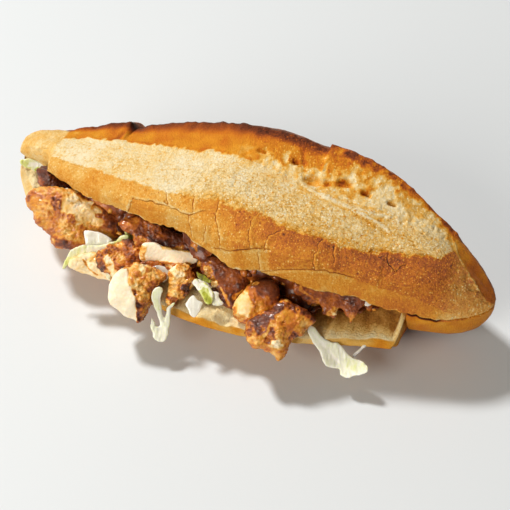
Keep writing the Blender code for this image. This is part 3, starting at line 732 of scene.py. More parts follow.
# %% Helpers for node trees
def add(tree, kind, settings=None, **inputs):
    """Adds a node, sets its options, and sets or links its inputs by name (_ stands for a space)."""
    node = tree.nodes.new(kind)
    for key, value in (settings or {}).items():
        setattr(node, key, value)
    for key, value in inputs.items():
        socket = node.inputs[int(key[1:])] if key[1:].isdigit() else node.inputs[key.replace("_", " ")]
        if isinstance(value, bpy.types.NodeSocket):
            tree.links.new(value, socket)
        else:
            socket.default_value = value
    return node


def maths(tree, operation, a, b=0.0):
    return add(tree, "ShaderNodeMath", {"operation": operation}, _0=a, _1=b).outputs[0]


def plus(tree, total, value, weight):
    """The total, and this weight of the value on top."""
    return maths(tree, "ADD", total, maths(tree, "MULTIPLY", value, weight))


def remap(tree, value, low, high, at_low, at_high, kind="LINEAR"):
    """Goes from at_low to at_high while the value goes from low to high."""
    return add(tree, "ShaderNodeMapRange", {"interpolation_type": kind}, Value=value,
               _1=low, _2=high, _3=at_low, _4=at_high).outputs[0]


def blend(tree, share, colour, other):
    """The colour, and the other one where the share is 1."""
    return add(tree, "ShaderNodeMix", {"data_type": "RGBA"}, _0=share, _6=colour, _7=other).outputs[2]


def raised(tree, height, strength, distance):
    """A normal for fine relief, whose height 1 stands for the distance in metres."""
    return add(tree, "ShaderNodeBump", Strength=strength, Distance=distance, Height=height).outputs[0]


def own_place(tree):
    """The piece's Object coordinates, which patterns are laid out on."""
    return add(tree, "ShaderNodeTexCoord").outputs["Object"]


def new_tree(name, kind, inputs, outputs):
    """A node group with named sockets, and its input and output nodes."""
    tree = bpy.data.node_groups.new(name, kind)
    for side, sockets in (("INPUT", inputs), ("OUTPUT", outputs)):
        for label, socket_type, value in sockets:
            socket = tree.interface.new_socket(label, in_out=side, socket_type="NodeSocket" + socket_type)
            if value is not None:
                socket.default_value = value
    return tree, tree.nodes.new("NodeGroupInput").outputs, tree.nodes.new("NodeGroupOutput").inputs


def linear(code):
    """A colour's linear values from its usual six-digit code."""
    values = [int(code[i:i + 2], 16) / 255 for i in (0, 2, 4)]
    return (*[v / 12.92 if v <= 0.04045 else ((v + 0.055) / 1.055) ** 2.4 for v in values], 1.0)


def colour_ramp(tree, value, stops):
    node = add(tree, "ShaderNodeValToRGB", Fac=value)
    points = node.color_ramp.elements
    while len(points) < len(stops):
        points.new(0.5)
    for point, (place, code) in zip(points, stops):
        point.position = place
        point.color = linear(code)
    return node.outputs["Color"]


def stored(tree, name):
    return add(tree, "ShaderNodeAttribute", {"attribute_name": name}).outputs["Fac"]


# %% Shared effects: grain and specks
grain_group, inp, out = new_tree(
    "grain", "ShaderNodeTree",
    (("Vector", "Vector", None), ("Per Metre", "Float", 900.0), ("Rough", "Float", 0.6)),
    (("Value", "Float", None), ("Fine", "Float", None)))
coarse = add(grain_group, "ShaderNodeTexNoise", Vector=inp["Vector"], Scale=inp["Per Metre"],
             Detail=3.0, Roughness=inp["Rough"])
triple = maths(grain_group, "MULTIPLY", inp["Per Metre"], 3.1)
fine = add(grain_group, "ShaderNodeTexNoise", Vector=inp["Vector"], Scale=triple, Detail=2.0)
grain_group.links.new(maths(grain_group, "SUBTRACT", coarse.outputs[0], 0.5), out["Value"])
grain_group.links.new(maths(grain_group, "SUBTRACT", fine.outputs[0], 0.5), out["Fine"])

speck_group, inp, out = new_tree(
    "specks", "ShaderNodeTree",
    (("Vector", "Vector", None), ("Per Metre", "Float", 700.0), ("Share", "Float", 0.2)),
    (("Mask", "Float", None),))
cells = add(speck_group, "ShaderNodeTexVoronoi", Vector=inp["Vector"], Scale=inp["Per Metre"])
random_cell = add(speck_group, "ShaderNodeSeparateColor", Color=cells.outputs["Color"]).outputs[0]
chosen = maths(speck_group, "LESS_THAN", random_cell, inp["Share"])
small = remap(speck_group, cells.outputs["Distance"], 0.45, 0.15, 0.0, 1.0)
speck_group.links.new(maths(speck_group, "MULTIPLY", chosen, small), out["Mask"])


def effect(tree, group, **inputs):
    return add(tree, "ShaderNodeGroup", {"node_tree": group}, **inputs).outputs


print("shared effects:", grain_group.name, speck_group.name)

# %% The roll's finish
CRUST_STOPS = ((0.0, "F7E8C4"), (0.13, "F2D598"), (0.28, "EAB658"), (0.42, "DF931C"),
               (0.56, "CB700E"), (0.70, "A65012"), (0.85, "6A2E0E"), (1.0, "2B120A"))
CRUMB_STOPS = ((0.0, "8A5420"), (0.25, "C4883A"), (0.48, "ECC070"), (0.72, "FBE4AC"), (1.0, "FFF4D4"))


def new_material(name):
    material = bpy.data.materials.new(name)
    material.use_nodes = True
    tree = material.node_tree
    return material, tree, tree.nodes["Principled BSDF"]


def plug(tree, shader, **inputs):
    for key, value in inputs.items():
        socket = shader.inputs[key.replace("_", " ")]
        if isinstance(value, bpy.types.NodeSocket):
            tree.links.new(value, socket)
        else:
            socket.default_value = value


crust, tree, shader = new_material("baked crust")
place = own_place(tree)
sand = effect(tree, grain_group, Vector=place, Per_Metre=900.0, Rough=0.65)
patches = effect(tree, grain_group, Vector=place, Per_Metre=150.0, Rough=0.6)
light_specks = effect(tree, speck_group, Vector=place, Per_Metre=780.0, Share=0.30)
dark_specks = effect(tree, speck_group, Vector=place, Per_Metre=520.0, Share=0.06)
gritty = stored(tree, "grain")
web = effect(tree, grain_group, Vector=place, Per_Metre=330.0, Rough=0.55)
browning = plus(tree, stored(tree, "bake"), sand["Value"], plus(tree, 0.14, gritty, 0.52))
browning = plus(tree, browning, patches["Value"], 0.22)
for pattern, weight in ((light_specks["Mask"], -0.34), (dark_specks["Mask"], 0.26), (web["Value"], 0.22)):
    browning = plus(tree, browning, pattern, maths(tree, "MULTIPLY", gritty, weight))
crackle = remap(tree, maths(tree, "ABSOLUTE", web["Value"]), 0.0, 0.025, 1.0, 0.0)
crackle = maths(tree, "MULTIPLY", crackle, stored(tree, "dry"))
browning = plus(tree, browning, crackle, 0.18)
# painted shade: a dark line along each crack, for the shadow that falls into its groove
away = plus(tree, maths(tree, "ABSOLUTE", stored(tree, "split")), sand["Value"], 0.35)
thread = remap(tree, away, 0.10, 0.38, 1.0, 0.0, "SMOOTHSTEP")
split = maths(tree, "MULTIPLY", thread, stored(tree, "split_on"))
browning = plus(tree, browning, split, 0.24)
crust_colour = colour_ramp(tree, browning, CRUST_STOPS)
crust_colour = blend(tree, stored(tree, "dusty"), crust_colour, linear("EFE0C2"))
crumb_value = plus(tree, maths(tree, "MULTIPLY", patches["Value"], 0.7), sand["Value"], 0.45)
crumb_value = maths(tree, "SUBTRACT", maths(tree, "ADD", crumb_value, 0.71), stored(tree, "bake"))
crumb_colour = colour_ramp(tree, crumb_value, CRUMB_STOPS)
colour = blend(tree, stored(tree, "crumb"), crust_colour, crumb_colour)
height = plus(tree, sand["Value"], sand["Fine"], 0.6)
height = plus(tree, height, split, -0.8)
height = plus(tree, height, crackle, -0.5)
plug(tree, shader, Base_Color=colour, Roughness=0.55, Normal=raised(tree, height, 0.9, 0.001),
     Specular_IOR_Level=0.2)
print("finish:", crust.name)

# %% [markdown]
# ## The grain of the crust, as a Geometry Nodes tree
#
# Flour and semolina leave a sandy relief that is too fine to model by hand and too deep for a bump
# alone. The rule is simple: every point moves along its normal by noise, times how grainy its
# region is. That is a Geometry Nodes tree with the grain's size and height as inputs, so the same
# tree could dress any loaf. It ends by setting the crust's material.

# %% A tree that roughens a surface


def point_value(tree, name):
    node = add(tree, "GeometryNodeInputNamedAttribute", {"data_type": "FLOAT"}, Name=name)
    return node.outputs["Attribute"]


def realized(tree, geometry, material, end):
    """Ends a tree: instances become real, and every face takes the material."""
    real = add(tree, "GeometryNodeRealizeInstances", Geometry=geometry)
    done = add(tree, "GeometryNodeSetMaterial", Geometry=real.outputs[0], Material=material)
    tree.links.new(done.outputs[0], end)


def plain(obj):
    """Makes what the object's modifiers show its own plain mesh, and removes them."""
    bpy.context.view_layer.update()
    result = bpy.data.meshes.new_from_object(obj.evaluated_get(bpy.context.evaluated_depsgraph_get()))
    obj.modifiers.clear()
    old, obj.data = obj.data, result
    bpy.data.meshes.remove(old)
    return obj


def run_tree(obj, tree, values):
    """Gives obj the tree with these input values, and turns the result into a plain mesh."""
    modifier = obj.modifiers.new(tree.name, "NODES")
    modifier.node_group = tree
    for item in tree.interface.items_tree:
        if item.in_out == "INPUT" and item.name in values:
            modifier[item.identifier] = values[item.name]
    plain(obj)


roughen, inp, out = new_tree(
    "roughen", "GeometryNodeTree",
    (("Geometry", "Geometry", None), ("Grain Size", "Float", 0.0018), ("Grain Height", "Float", 0.0003),
     ("Crumple Size", "Float", 0.006), ("Crumple Height", "Float", 0.0003), ("Seed", "Float", 0.0),
     ("Material", "Material", None)),
    (("Geometry", "Geometry", None),))
spot = add(roughen, "GeometryNodeInputPosition").outputs[0]
moved = add(roughen, "ShaderNodeVectorMath", {"operation": "ADD"}, _0=spot, _1=inp["Seed"]).outputs[0]
heights = []
for size, height_name in (("Grain Size", "Grain Height"), ("Crumple Size", "Crumple Height")):
    scale = maths(roughen, "DIVIDE", 1.0, inp[size])
    wave = add(roughen, "ShaderNodeTexNoise", Vector=moved, Scale=scale, Detail=2.0).outputs[0]
    heights.append(maths(roughen, "MULTIPLY", maths(roughen, "SUBTRACT", wave, 0.5), inp[height_name]))
total = maths(roughen, "MULTIPLY", maths(roughen, "ADD", *heights), point_value(roughen, "grain"))
total = maths(roughen, "MULTIPLY", total, 2.0)
push = add(roughen, "ShaderNodeVectorMath", {"operation": "SCALE"},
           _0=add(roughen, "GeometryNodeInputNormal").outputs[0], Scale=total).outputs[0]
shifted = add(roughen, "GeometryNodeSetPosition", Geometry=inp["Geometry"], Offset=push).outputs[0]
realized(roughen, shifted, inp["Material"], out["Geometry"])

run_tree(roll, roughen, {"Grain Size": 0.0015, "Grain Height": 0.0005, "Crumple Size": 0.0036,
                         "Crumple Height": 0.0004, "Seed": 0.3, "Material": crust})
print("roll:", len(roll.data.vertices), "points after roughening")


# %% Hand a finished piece to the frame
def keep(obj, slot, *replaced):
    """The piece moves with the sandwich, stands for its CAD solids, and is shaded smooth. The slot is not
    used.
    """
    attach(obj, "root")
    if replaced:
        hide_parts(*replaced)
    obj.data.shade_smooth()


keep(roll, "bread", "bread_roll")
print("roll kept as", roll.name)

# %% [markdown]
# ## Grilled chicken
#
# Each piece of meat was shaved or torn from the grill: a flattish lump with a ragged outline, a
# crumpled glazed skin, fibres that run one way, scorched spots where it stood proud, and pale flesh
# where a knife cut it. The pieces fan out of the mouth, so they all show their broad sides outward
# and up. A piece is therefore drawn as an outline on that plane, through the middle of its packed
# solid, made thick, rounded, and crumpled with noise. Spots then say where it is pale or charred;
# some spots and dark base tones are painted light instead: shade under the lid's lip and glints of
# the glaze.

# %% The plane that the filling fans out on
FAN_TURN, FAN_LEAN = 22.4, 44.0  # degrees round the upright, and back from flat
fan_turn = Matrix.Rotation(radians(FAN_TURN), 3, "Z") @ Matrix.Rotation(radians(FAN_LEAN), 3, "X")
FAN = np.array([list(fan_turn.col[k]) for k in range(3)])  # along the fan, up it, and out of it


def middle_mm(node):
    low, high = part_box(node)
    return np.array((low + high) / 2) / MM


def closed_curve(corners, steps=6):
    """A smooth closed line through the corners of an outline, in millimetres."""
    p = np.array(corners, float)
    slope = 0.5 * (np.roll(p, -1, axis=0) - np.roll(p, 1, axis=0))
    rows = [hermite(p, slope, np.roll(p, -1, axis=0), np.roll(slope, -1, axis=0), k / steps)
            for k in range(steps)]
    return np.stack(rows, axis=1).reshape(-1, 2)


def to_line(points, line, closed=True):
    """How far each flat point is from a line of flat points."""
    ends = np.roll(line, -1, axis=0) if closed else line[1:]
    best = np.full(len(points), 1e9)
    for a, b in zip(line, ends):
        way = b - a
        t = np.clip((points - a) @ way / max(way @ way, 1e-9), 0, 1)
        best = np.minimum(best, np.linalg.norm(points - a - t[:, None] * way, axis=1))
    return best


# %% Reading and writing a mesh's points
def read(mesh):
    """The points and their normals, in millimetres."""
    count = len(mesh.vertices)
    points, normals = np.empty(count * 3), np.empty(count * 3)
    mesh.vertices.foreach_get("co", points)
    mesh.vertex_normals.foreach_get("vector", normals)
    return points.reshape(-1, 3) / MM, normals.reshape(-1, 3)


def write(mesh, points):
    mesh.vertices.foreach_set("co", (points * MM).ravel())
    mesh.update()


def applied(obj, *steps):
    """Gives obj these modifiers, each a kind with its settings, and keeps the evaluated mesh."""
    for kind, settings in steps:
        modifier = obj.modifiers.new(kind.lower(), kind)
        for key, value in settings.items():
            setattr(modifier, key, value)
    return plain(obj)


def even_net(voxel_mm):
    return "REMESH", {"mode": "VOXEL", "voxel_size": voxel_mm * MM}


def rounded(times):
    return "SMOOTH", {"factor": 0.5, "iterations": times}


def finer(levels):
    return "SUBSURF", {"levels": levels, "render_levels": levels}


# %% A slab: an outline made thick, round and ragged
def slab(name, node, outline, thick, rim=0.4, soft=8.0, voxel=1.0, times=8, levels=1, ragged=0.5,
         grow=0.7, ahead=0.0, curl=(0.0, 0.0, 0.0), seed=0):
    """A slab on the fan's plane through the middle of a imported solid.

    rim is the share of the thickness left at the outline, soft how far in the full thickness
    starts, grow what the rounding will take off, curl how far the slab leans along x and y and bows,
    and ahead moves it outward."""
    line = closed_curve(outline)
    along_line = np.roll(line, -1, axis=0) - np.roll(line, 1, axis=0)
    size = np.linalg.norm(along_line, axis=1)[:, None] + 1e-9
    outward = np.stack([-along_line[:, 1], along_line[:, 0]], 1) / size
    line = line + grow * outward
    there = np.column_stack([line, np.full(len(line), seed * 1.7)])
    line = line + ragged * np.stack([layers(there, 3.0, 2, seed + 1), layers(there, 3.0, 2, seed + 2)], 1)
    count = len(line)
    points = [(x * MM, y * MM, z * MM) for z in (-thick / 2, thick / 2) for x, y in line]
    sides = [(k, (k + 1) % count, count + (k + 1) % count, count + k) for k in range(count)]
    faces = [list(range(count))[::-1], list(range(count, 2 * count))] + sides
    data = bpy.data.meshes.new(name)
    data.from_pydata(points, [], faces)
    mesh = bmesh.new()
    mesh.from_mesh(data)
    bmesh.ops.recalc_face_normals(mesh, faces=mesh.faces)
    mesh.to_mesh(data)
    mesh.free()
    obj = shown(name, data)
    applied(obj, even_net(voxel))
    flat, _ = read(obj.data)
    inward = np.clip(to_line(flat[:, :2], line) / soft, 0, 1)
    dome = np.sqrt(1 - (1 - inward) ** 2)
    bow = curl[0] * flat[:, 0] + curl[1] * flat[:, 1] + curl[2] * (flat[:, 0] ** 2 + flat[:, 1] ** 2) / 100
    bow = bow + 0.06 * thick * layers(flat * np.array([1, 1, 0]), 12.0, 2, seed + 3)
    flat[:, 2] = flat[:, 2] * mix(rim, 1.0, dome) + bow + ahead
    write(obj.data, middle_mm(node) + flat @ FAN)
    return applied(obj, rounded(times), finer(levels))


def on_fan(points, node):
    """Flat coordinates on the fan's plane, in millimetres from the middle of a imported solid."""
    return (points - middle_mm(node)) @ FAN.T


# %% Spots of colour and relief
def painted(flat, base, spots, seed):
    """Two values at each point, tone and roughness, from a base and soft-edged spots.

    A spot is a line's two ends (x, y, x, y), its radius, its tone and its roughness."""
    wobble = 1.0 + 0.45 * layers(flat, 3.5, 2, seed)
    values = np.tile(np.array(base, float), (len(flat), 1))
    for x0, y0, x1, y1, radius, tone, rough in spots:
        away = to_line(flat[:, :2], np.array([(x0, y0), (x1, y1)], float), closed=False)
        share = (1 - ramp(away * wobble, 0.6 * radius, 1.15 * radius))[:, None]
        values = mix(values, np.array([tone, rough]), share)
    return values[:, 0], values[:, 1]


def inside(flat, line):
    """True for the flat points within a closed line."""
    x, y = flat[:, 0], flat[:, 1]
    found = np.zeros(len(flat), bool)
    for (x0, y0), (x1, y1) in zip(line, np.roll(line, -1, axis=0)):
        found ^= ((y0 > y) != (y1 > y)) & (x < x0 + (y - y0) * (x1 - x0) / (y1 - y0 + 1e-12))
    return found


def cut_face(flat, corners, seed, soft=0.35):
    """1 on the flat face that a knife left within these corners, with an edge this soft."""
    line = np.array(corners, float)
    edge_way = to_line(flat[:, :2], line) * np.where(inside(flat, line), 1, -1)
    return ramp(edge_way + 0.35 * layers(flat, 2.5, 2, seed), -soft, soft)


def crumple(obj, rough, seed, height=1.0):
    """Gives meat its lumps, its crumpled glaze and its fibres, weaker where it is not rough."""
    points, normals = read(obj.data)
    way = np.array((0.85, -0.25, 0.45))
    across = points - 0.85 * (points @ way)[:, None] * way
    big = layers(points, 8.0, 2, seed)
    folds = ridge(layers(points, 4.4, 2, seed + 20)) - 0.5
    fine = ridge(layers(across, 1.9, 2, seed + 40)) - 0.5
    grit = noise(points, 1.1, seed + 50)
    fibres = noise(across, 0.9, seed + 60) + 0.6 * noise(across, 1.8, seed + 61)
    lift = height * (rough * (0.55 * big + 0.3 * folds + 0.40 * fine + 0.16 * grit)
                     + mix(0.05, 0.3, rough) * fibres)
    write(obj.data, points + normals * lift[:, None])
    return {"big": big, "folds": folds, "fine": fine, "grit": grit, "fibres": fibres}


# %% The meat's finish
MEAT_STOPS = ((0.0, "FFF3DE"), (0.16, "FBE3B6"), (0.32, "F0C06C"), (0.46, "DC932A"),
              (0.60, "C0691C"), (0.74, "8E4518"), (0.87, "5E2A14"), (1.0, "28120C"))
meat_skin, tree, shader = new_material("glazed meat")
place = own_place(tree)
sand = effect(tree, grain_group, Vector=place, Per_Metre=700.0, Rough=0.6)
patches = effect(tree, grain_group, Vector=place, Per_Metre=220.0, Rough=0.6)
specks = effect(tree, speck_group, Vector=place, Per_Metre=420.0, Share=0.12)
crisp = plus(tree, 0.3, stored(tree, "rough"), 0.7)
tone = plus(tree, stored(tree, "bake"), patches["Value"], maths(tree, "MULTIPLY", crisp, 0.35))
tone = maths(tree, "ADD", tone, 0.04)
tone = plus(tree, tone, sand["Value"], 0.14)
tone = plus(tree, tone, specks["Mask"], maths(tree, "MULTIPLY", stored(tree, "wet"), 0.20))
height = maths(tree, "MULTIPLY", maths(tree, "ADD", sand["Value"], patches["Value"]), crisp)
gloss = remap(tree, stored(tree, "wet"), 0.0, 1.0, 0.5, 0.22)
plug(tree, shader, Base_Color=colour_ramp(tree, tone, MEAT_STOPS), Roughness=gloss,
     Normal=raised(tree, height, 0.9, 0.001), Coat_Weight=stored(tree, "wet"), Coat_Roughness=0.09,
     Specular_IOR_Level=0.35, Subsurface_Weight=0.12, Subsurface_Scale=0.003)
shader.inputs["Subsurface Radius"].default_value = (1.0, 0.45, 0.25)

# %% The pieces' outlines and spots, in millimetres on the fan's plane
# name: outline, thickness, options, (tone, roughness) of the whole, spots as `painted` takes them
MEAT = {
    "chicken_01": (((-25, 15), (-22, 18), (-15, 19), (-6, 18.5), (0, 18), (7, 15), (14, 11), (21, 6),
                    (28, 1), (29, -4), (25, -8), (14, -6), (8, -5), (7, -9), (8, -13), (0, -15),
                    (-7, -14), (-11.5, -11), (-12, -6.5), (-17, -2.5), (-21, 0), (-20.5, 4.5),
                    (-24, 8), (-26, 12)), 13, {"soft": 9, "curl": (0, 0, -0.5)}, (0.43, 0.65), (
        (0, 9, 19, -1, 8.5, 0.21, 0.3), (-22, 1, -13, -8, 3.5, 0.54, 0.9),
        (-6, -11, 2, -13, 5, 0.64, 0.6), (-3, -11, -2, -13, 2, 0.82, 0.6), (-6, -6, 2, -8, 4, 0.38, 0.8),
        # painted light: (22, 0, 28, -6) darkens the end that goes into the lid's shade, (4, 16.5, 25, 4) is
        # the lid's shadow painted along the top edge, and (-3, 15, 5, 11) on the next line is a pale spot
        # painted for the glaze's highlights
        (22, 0, 28, -6, 6, 0.68, 0.4), (4, 16.5, 25, 4, 2.5, 0.72, 0.6), (-9, 11, -8, 10, 3.4, 0.66, 1.3),
        (-3, 15, 5, 11, 3.5, 0.2, 0.9), (-22, 13, -16, 12, 4, 0.52, 1.0), (-14, 4, -6, 2, 3, 0.42, 0.8),
        (10, -3, 20, -5, 2, 0.42, 0.6), (-1, 3, 1, -4, 1.6, 0.55, 0.9))),
    "chicken_02": (((-6.5, 8), (-3, 9), (-0.5, 6), (1.5, 3), (6, 0), (9, -2.5), (4, -4.5), (1, -3.5),
                    (-2.5, -2.5), (-6.5, -0.5), (-7, 4.5)), 9, {"soft": 5, "voxel": 0.7}, (0.78, 0.9), (
        (-5, 3, -4, 0, 1.8, 0.70, 0.6), (-1, 5, 0, 3, 1.2, 0.62, 0.8), (5, -1.5, 8, -3, 2.5, 0.88, 1.0))),
    "chicken_03": (((-15.5, -0.5), (-14, 2.5), (-10, 6), (-3, 8), (2, 9), (6.5, 8.5), (10, 7), (9.5, 0),
                    (6, -4), (2, -5.5), (-2.5, -8), (-5.5, -9.5), (-10, -7), (-13, -4.5)),
                   11, {"soft": 6, "voxel": 0.8}, (0.57, 1.25), (
        (-8.5, -1, -6, -8, 2.6, 0.10, 0.6), (-12, -3, -11, -6, 1.8, 0.84, 1.0),
        (2, 8, 9, 7.5, 2, 0.8, 1.0), (-3, -2, 2, -4, 2, 0.42, 1.0), (4, 3, 6, 0, 2.5, 0.66, 1.2),
        (-13, 1, -11, 3, 1.8, 0.72, 1.2))),
    "chicken_04": (((-14, 3.5), (-12.5, 5.5), (-7, 6), (-3, 4), (5, 2.5), (14, 0.5), (15.5, -3),
                    (12, -5), (4.5, -6), (-1, -4.5), (-4.5, -2.5), (-14, -3)),
                   8, {"soft": 2.5, "rim": 0.75, "voxel": 0.8, "ragged": 0.35, "curl": (0.1, 0.12, 0)},
                   (0.0, 0.10), (
        (14, -1, 16, -3, 2.0, 0.6, 0.8), (-14, 3, -13.5, -2, 1.6, 0.36, 0.6),
        (-5, -3.6, 13, -6, 1.0, 0.5, 0.7), (-2, 4, 14, 1.2, 0.8, 0.3, 0.4),
        (-8, 2, -7.8, 2, 0.5, 0.45, 0.2), (3, 0.5, 3.2, 0.5, 0.5, 0.5, 0.2))),
    # chicken_05 lies under the lid's lip: its dark base tone is partly roasted brown and partly painted
    # shade, and the near-black spot (-5, 6, 4, 1) is a painted shadow in the gap there
    "chicken_05": (((-28, 9), (-20, 11), (-13, 10.5), (-7, 8), (-2, 3.5), (3, 1), (9, -0.5), (16, -3),
                    (23, -6.5), (31, -13), (32, -18), (27, -22), (20, -21), (17, -17), (12, -13),
                    (3, -8), (-6, -6), (-15, -3), (-20, -3), (-21.5, 2), (-27, 5)),
                   9, {"soft": 6, "curl": (0, -0.1, 0)}, (0.77, 0.5), (
        (-28, 8, -21, 8, 3.5, 0.60, 0.5), (-19, -1, -14, -2, 2.2, 0.48, 0.9),
        (-1, -6, 4, -7, 1.4, 0.42, 0.9), (-5, 6, 4, 1, 2.0, 0.9, 0.6), (13, -12, 17, -17, 2, 0.5, 1.0),
        (-12, 4, -8, 2, 3, 0.68, 1.0), (20, -12, 27, -17, 3, 0.70, 0.8))),
    "chicken_06": (((-13.5, 1), (-12, 7), (-8, 11), (-3.5, 13), (1, 15), (7, 13), (11, 10.5), (16, 8.5),
                    (13, 5), (9, 1), (8, -4), (6, -8), (3, -13.5), (1, -14.5), (-4, -12.5), (-9, -9),
                    (-12.5, -4.5)), 18, {"soft": 8, "rim": 0.55, "voxel": 0.9}, (0.45, 1.0), (
        (-1, 1, 0, -1, 1.6, 0.82, 1.2), (1.5, -5, 2, -7, 1.5, 0.82, 1.2),
        (1.8, -11, 2, -13, 1.4, 0.8, 1.2), (5, 6, 6, 5, 3, 0.52, 0.9), (9, 4, 12, 5, 2, 0.62, 1.0),
        (4, 12.5, 5, 11, 1.8, 0.16, 0.9), (-1, 7, 0, 5, 1.5, 0.62, 1.0), (8, 9, 12, 9, 2, 0.4, 1.0))),
    "chicken_07": (((-8, 5), (-6, 7), (-0.5, 9), (4, 6), (5, 2), (4, -3), (0.5, -6.5), (-3, -9.5),
                    (-6, -12), (-8.5, -11), (-7.5, -6.5), (-7, -2), (-7.5, 2)),
                   10, {"soft": 5, "voxel": 0.75, "ahead": 1.0}, (0.36, 0.8), (
        (2, 5, 2.5, 4, 2.2, 0.62, 0.8), (1, -3, 2, -4, 2.6, 0.86, 1.3),
        (-5, 5.5, -3, 4.5, 2.6, 0.12, 0.8), (-6, -10, -5, -10.5, 2.4, 0.68, 1.0),
        (-6, -1, -5, -5, 1.5, 0.36, 0.7), (0, 8, 1, 7, 1.2, 0.3, 0.8))),
    # chicken_08 lies in the lid's shade: its dark base tone is partly roasted brown and partly painted shade
    "chicken_08": (((-11, 10.5), (-5, 13), (2, 9.5), (8.5, 8), (13, 5), (13, 0.5), (10.5, -5), (7, -9),
                    (5.5, -14), (2.5, -13), (-2, -8), (-2.5, -3), (-6.5, -1.5), (-8.5, 3), (-11, 6)),
                   8, {"soft": 5, "voxel": 0.75, "times": 12}, (0.76, 0.35), (
        (-0.5, -6, 2, -11, 2.2, 0.84, 0.6), (-1.5, -3, 3, -12.5, 0.6, 0.42, 0.2),
        (5.5, -8, 10, -4.5, 0.6, 0.4, 0.2), (-9.5, 7, -8, 4, 2, 0.42, 1.0),
        (-6, 1, -5, -1.5, 1.8, 0.28, 1.2), (3, 4, 7, 2, 3, 0.66, 0.2))),
    "chicken_09": (((-13, -2), (-12, 2), (-8.5, 5.5), (-4.5, 10), (3, 12), (8, 11), (10, 5.5), (8.5, 0),
                    (5, -4.5), (1, -8), (-3, -9.5), (-7, -9.5), (-12, -8)),
                   14, {"soft": 8, "voxel": 0.85, "times": 12}, (0.56, 0.35), (
        # (2, 8, 7, 7) darkens the top: partly brown skin, partly painted shade from the lid
        (2, 8, 7, 7, 5.5, 0.78, 0.2), (-9, 2, -7.5, -3, 4.4, 0.20, 0.3), (-1, -2, 3, -4, 3.6, 0.42, 0.6),
        (-12, -6.5, -6, -9, 1.8, 0.5, 1.0), (-8, -5, -6, -6, 1.5, 0.2, 0.9),
        (-3.2, 5, -3, -6, 0.8, 0.5, 0.8))),
    "chicken_10": (((-14.5, 3), (-9.5, 6), (-3, 9.5), (1, 13.5), (6, 13), (12, 9.5), (18, 5.5), (18.5, 2.5),
                    (15, 1), (12, -3), (8.5, -5), (6, -9), (3, -14), (0, -16.5), (-1, -13), (-6, -10.5),
                    (-10.5, -10.5), (-13.5, -6.5), (-15, -2)),
                   15, {"soft": 8, "voxel": 0.9, "ragged": 0.8}, (0.45, 0.6), (
        (1, 11, -11, 3, 3.2, 0.86, 0.6), (-6, 4, -9, -2, 2.6, 0.84, 0.6), (-3, 0, -2, -5, 1.6, 0.80, 0.8),
        (6, 12, 18, 5.5, 1.8, 0.74, 0.8), (4, 5, 9, 1, 4.5, 0.52, 0.4), (11, 0, 15, 2.5, 2.8, 0.36, 0.4),
        (-12, -6, 0, -14, 3.4, 0.42, 0.6), (-3, -8, 1, -9.5, 2.0, 0.2, 0.8),
        (-14, 1, -14, -1, 2, 0.62, 1.2), (8, -4, 8.5, -3, 1.8, 0.66, 1.2),
        (-5, -5, -4, -7, 1.4, 0.7, 1.2))),
    # chicken_11 lies in shade under the lid: its dark base tone is partly roasted brown and partly painted
    # shade
    "chicken_11": (((-16, 11), (-8, 10.5), (0, 8.5), (8, 6), (19, 2.5), (16, -2.5), (14, -7), (12, -10),
                    (10, -6), (8, -2.5), (6, -2.5), (4.5, -5.5), (1.5, -6.5), (-1.5, -5), (-2, -1.5),
                    (-5, 0), (-8.5, 0), (-12.5, 3), (-15.5, 6.5)),
                   3.4, {"soft": 3, "voxel": 0.6, "ragged": 0.7, "times": 4, "curl": (0, 0.15, 0.4)},
                   (0.70, 0.45), (
        (1, -5, 4, -4.5, 2.2, 0.44, 0.7), (3, -6, 5, -5, 0.9, 0.2, 0.5), (12, -8, 13, -6, 1.8, 0.52, 0.7),
        (-9, 1.5, -5, 1, 1.8, 0.6, 0.7), (-14, 7, -8, 3, 0.8, 0.45, 0.6), (8, 4, 12, 2, 2.5, 0.8, 1.0))),
    "chicken_12": (((-13, 2), (-7, 5.5), (2, 6.5), (7.5, 2), (10, -1.5), (9, -7.5), (2, -5.5), (-7, -3),
                    (-12, -0.5)), 8, {"soft": 5, "voxel": 0.8}, (0.15, 0.35), (
        (-5.5, 3.5, -2.5, -1.5, 0.45, 0.46, 0.6), (-2.5, -1.5, 2, -5, 0.45, 0.5, 0.6),
        (0, 3, 5, 2, 2, 0.3, 0.7), (8, -5, 9, -6, 1.2, 0.3, 0.8))),
    "chicken_13": (((-10.5, 3), (-5, 4), (0, 3.5), (4, 1.5), (9, 0.5), (14, 2), (19, 2), (18, 0), (12, -1),
                    (6.5, -2.5), (2, -1), (-2, -1.5), (-7, -0.5), (-11, 1)),
                   4.5, {"soft": 2.5, "voxel": 0.6, "ragged": 0.7, "times": 4}, (0.68, 0.8), (
        (-9, 2, -6, 1, 1.4, 0.84, 1.2), (0, 1, 3, 0, 1.2, 0.58, 1.2), (4, 2, 6, 1.5, 1.0, 0.12, 1.0),
        (12, 0.5, 15, 1, 1.2, 0.8, 1.0))),
}
# flat knife cuts: corners, tone, softness of the edge
FACES = {
    "chicken_04": (((-11, 8), (-3, 3), (5, 1.5), (17, -1), (17, -5), (9, -4), (4.5, -4.6), (-1, -3.4),
                    (-4.5, -1.4), (-11.5, -2)), 0.03, 0.35),
    "chicken_06": (((-16, 3), (-13, 10), (-8, 13), (-3.5, 13), (-2.6, 5), (-0.4, 0.5), (1, -4),
                    (1.6, -9.5), (1.2, -17), (-9, -15), (-15, -7)), 0.04, 0.35),
    "chicken_09": (((-12.5, 2), (-9.5, 4.5), (-6, 3), (-4, -1), (-5, -5), (-9, -6), (-12, -3)), 0.22, 1.8),
}
print("pieces of chicken described:", len(MEAT), "with a cut face:", len(FACES))

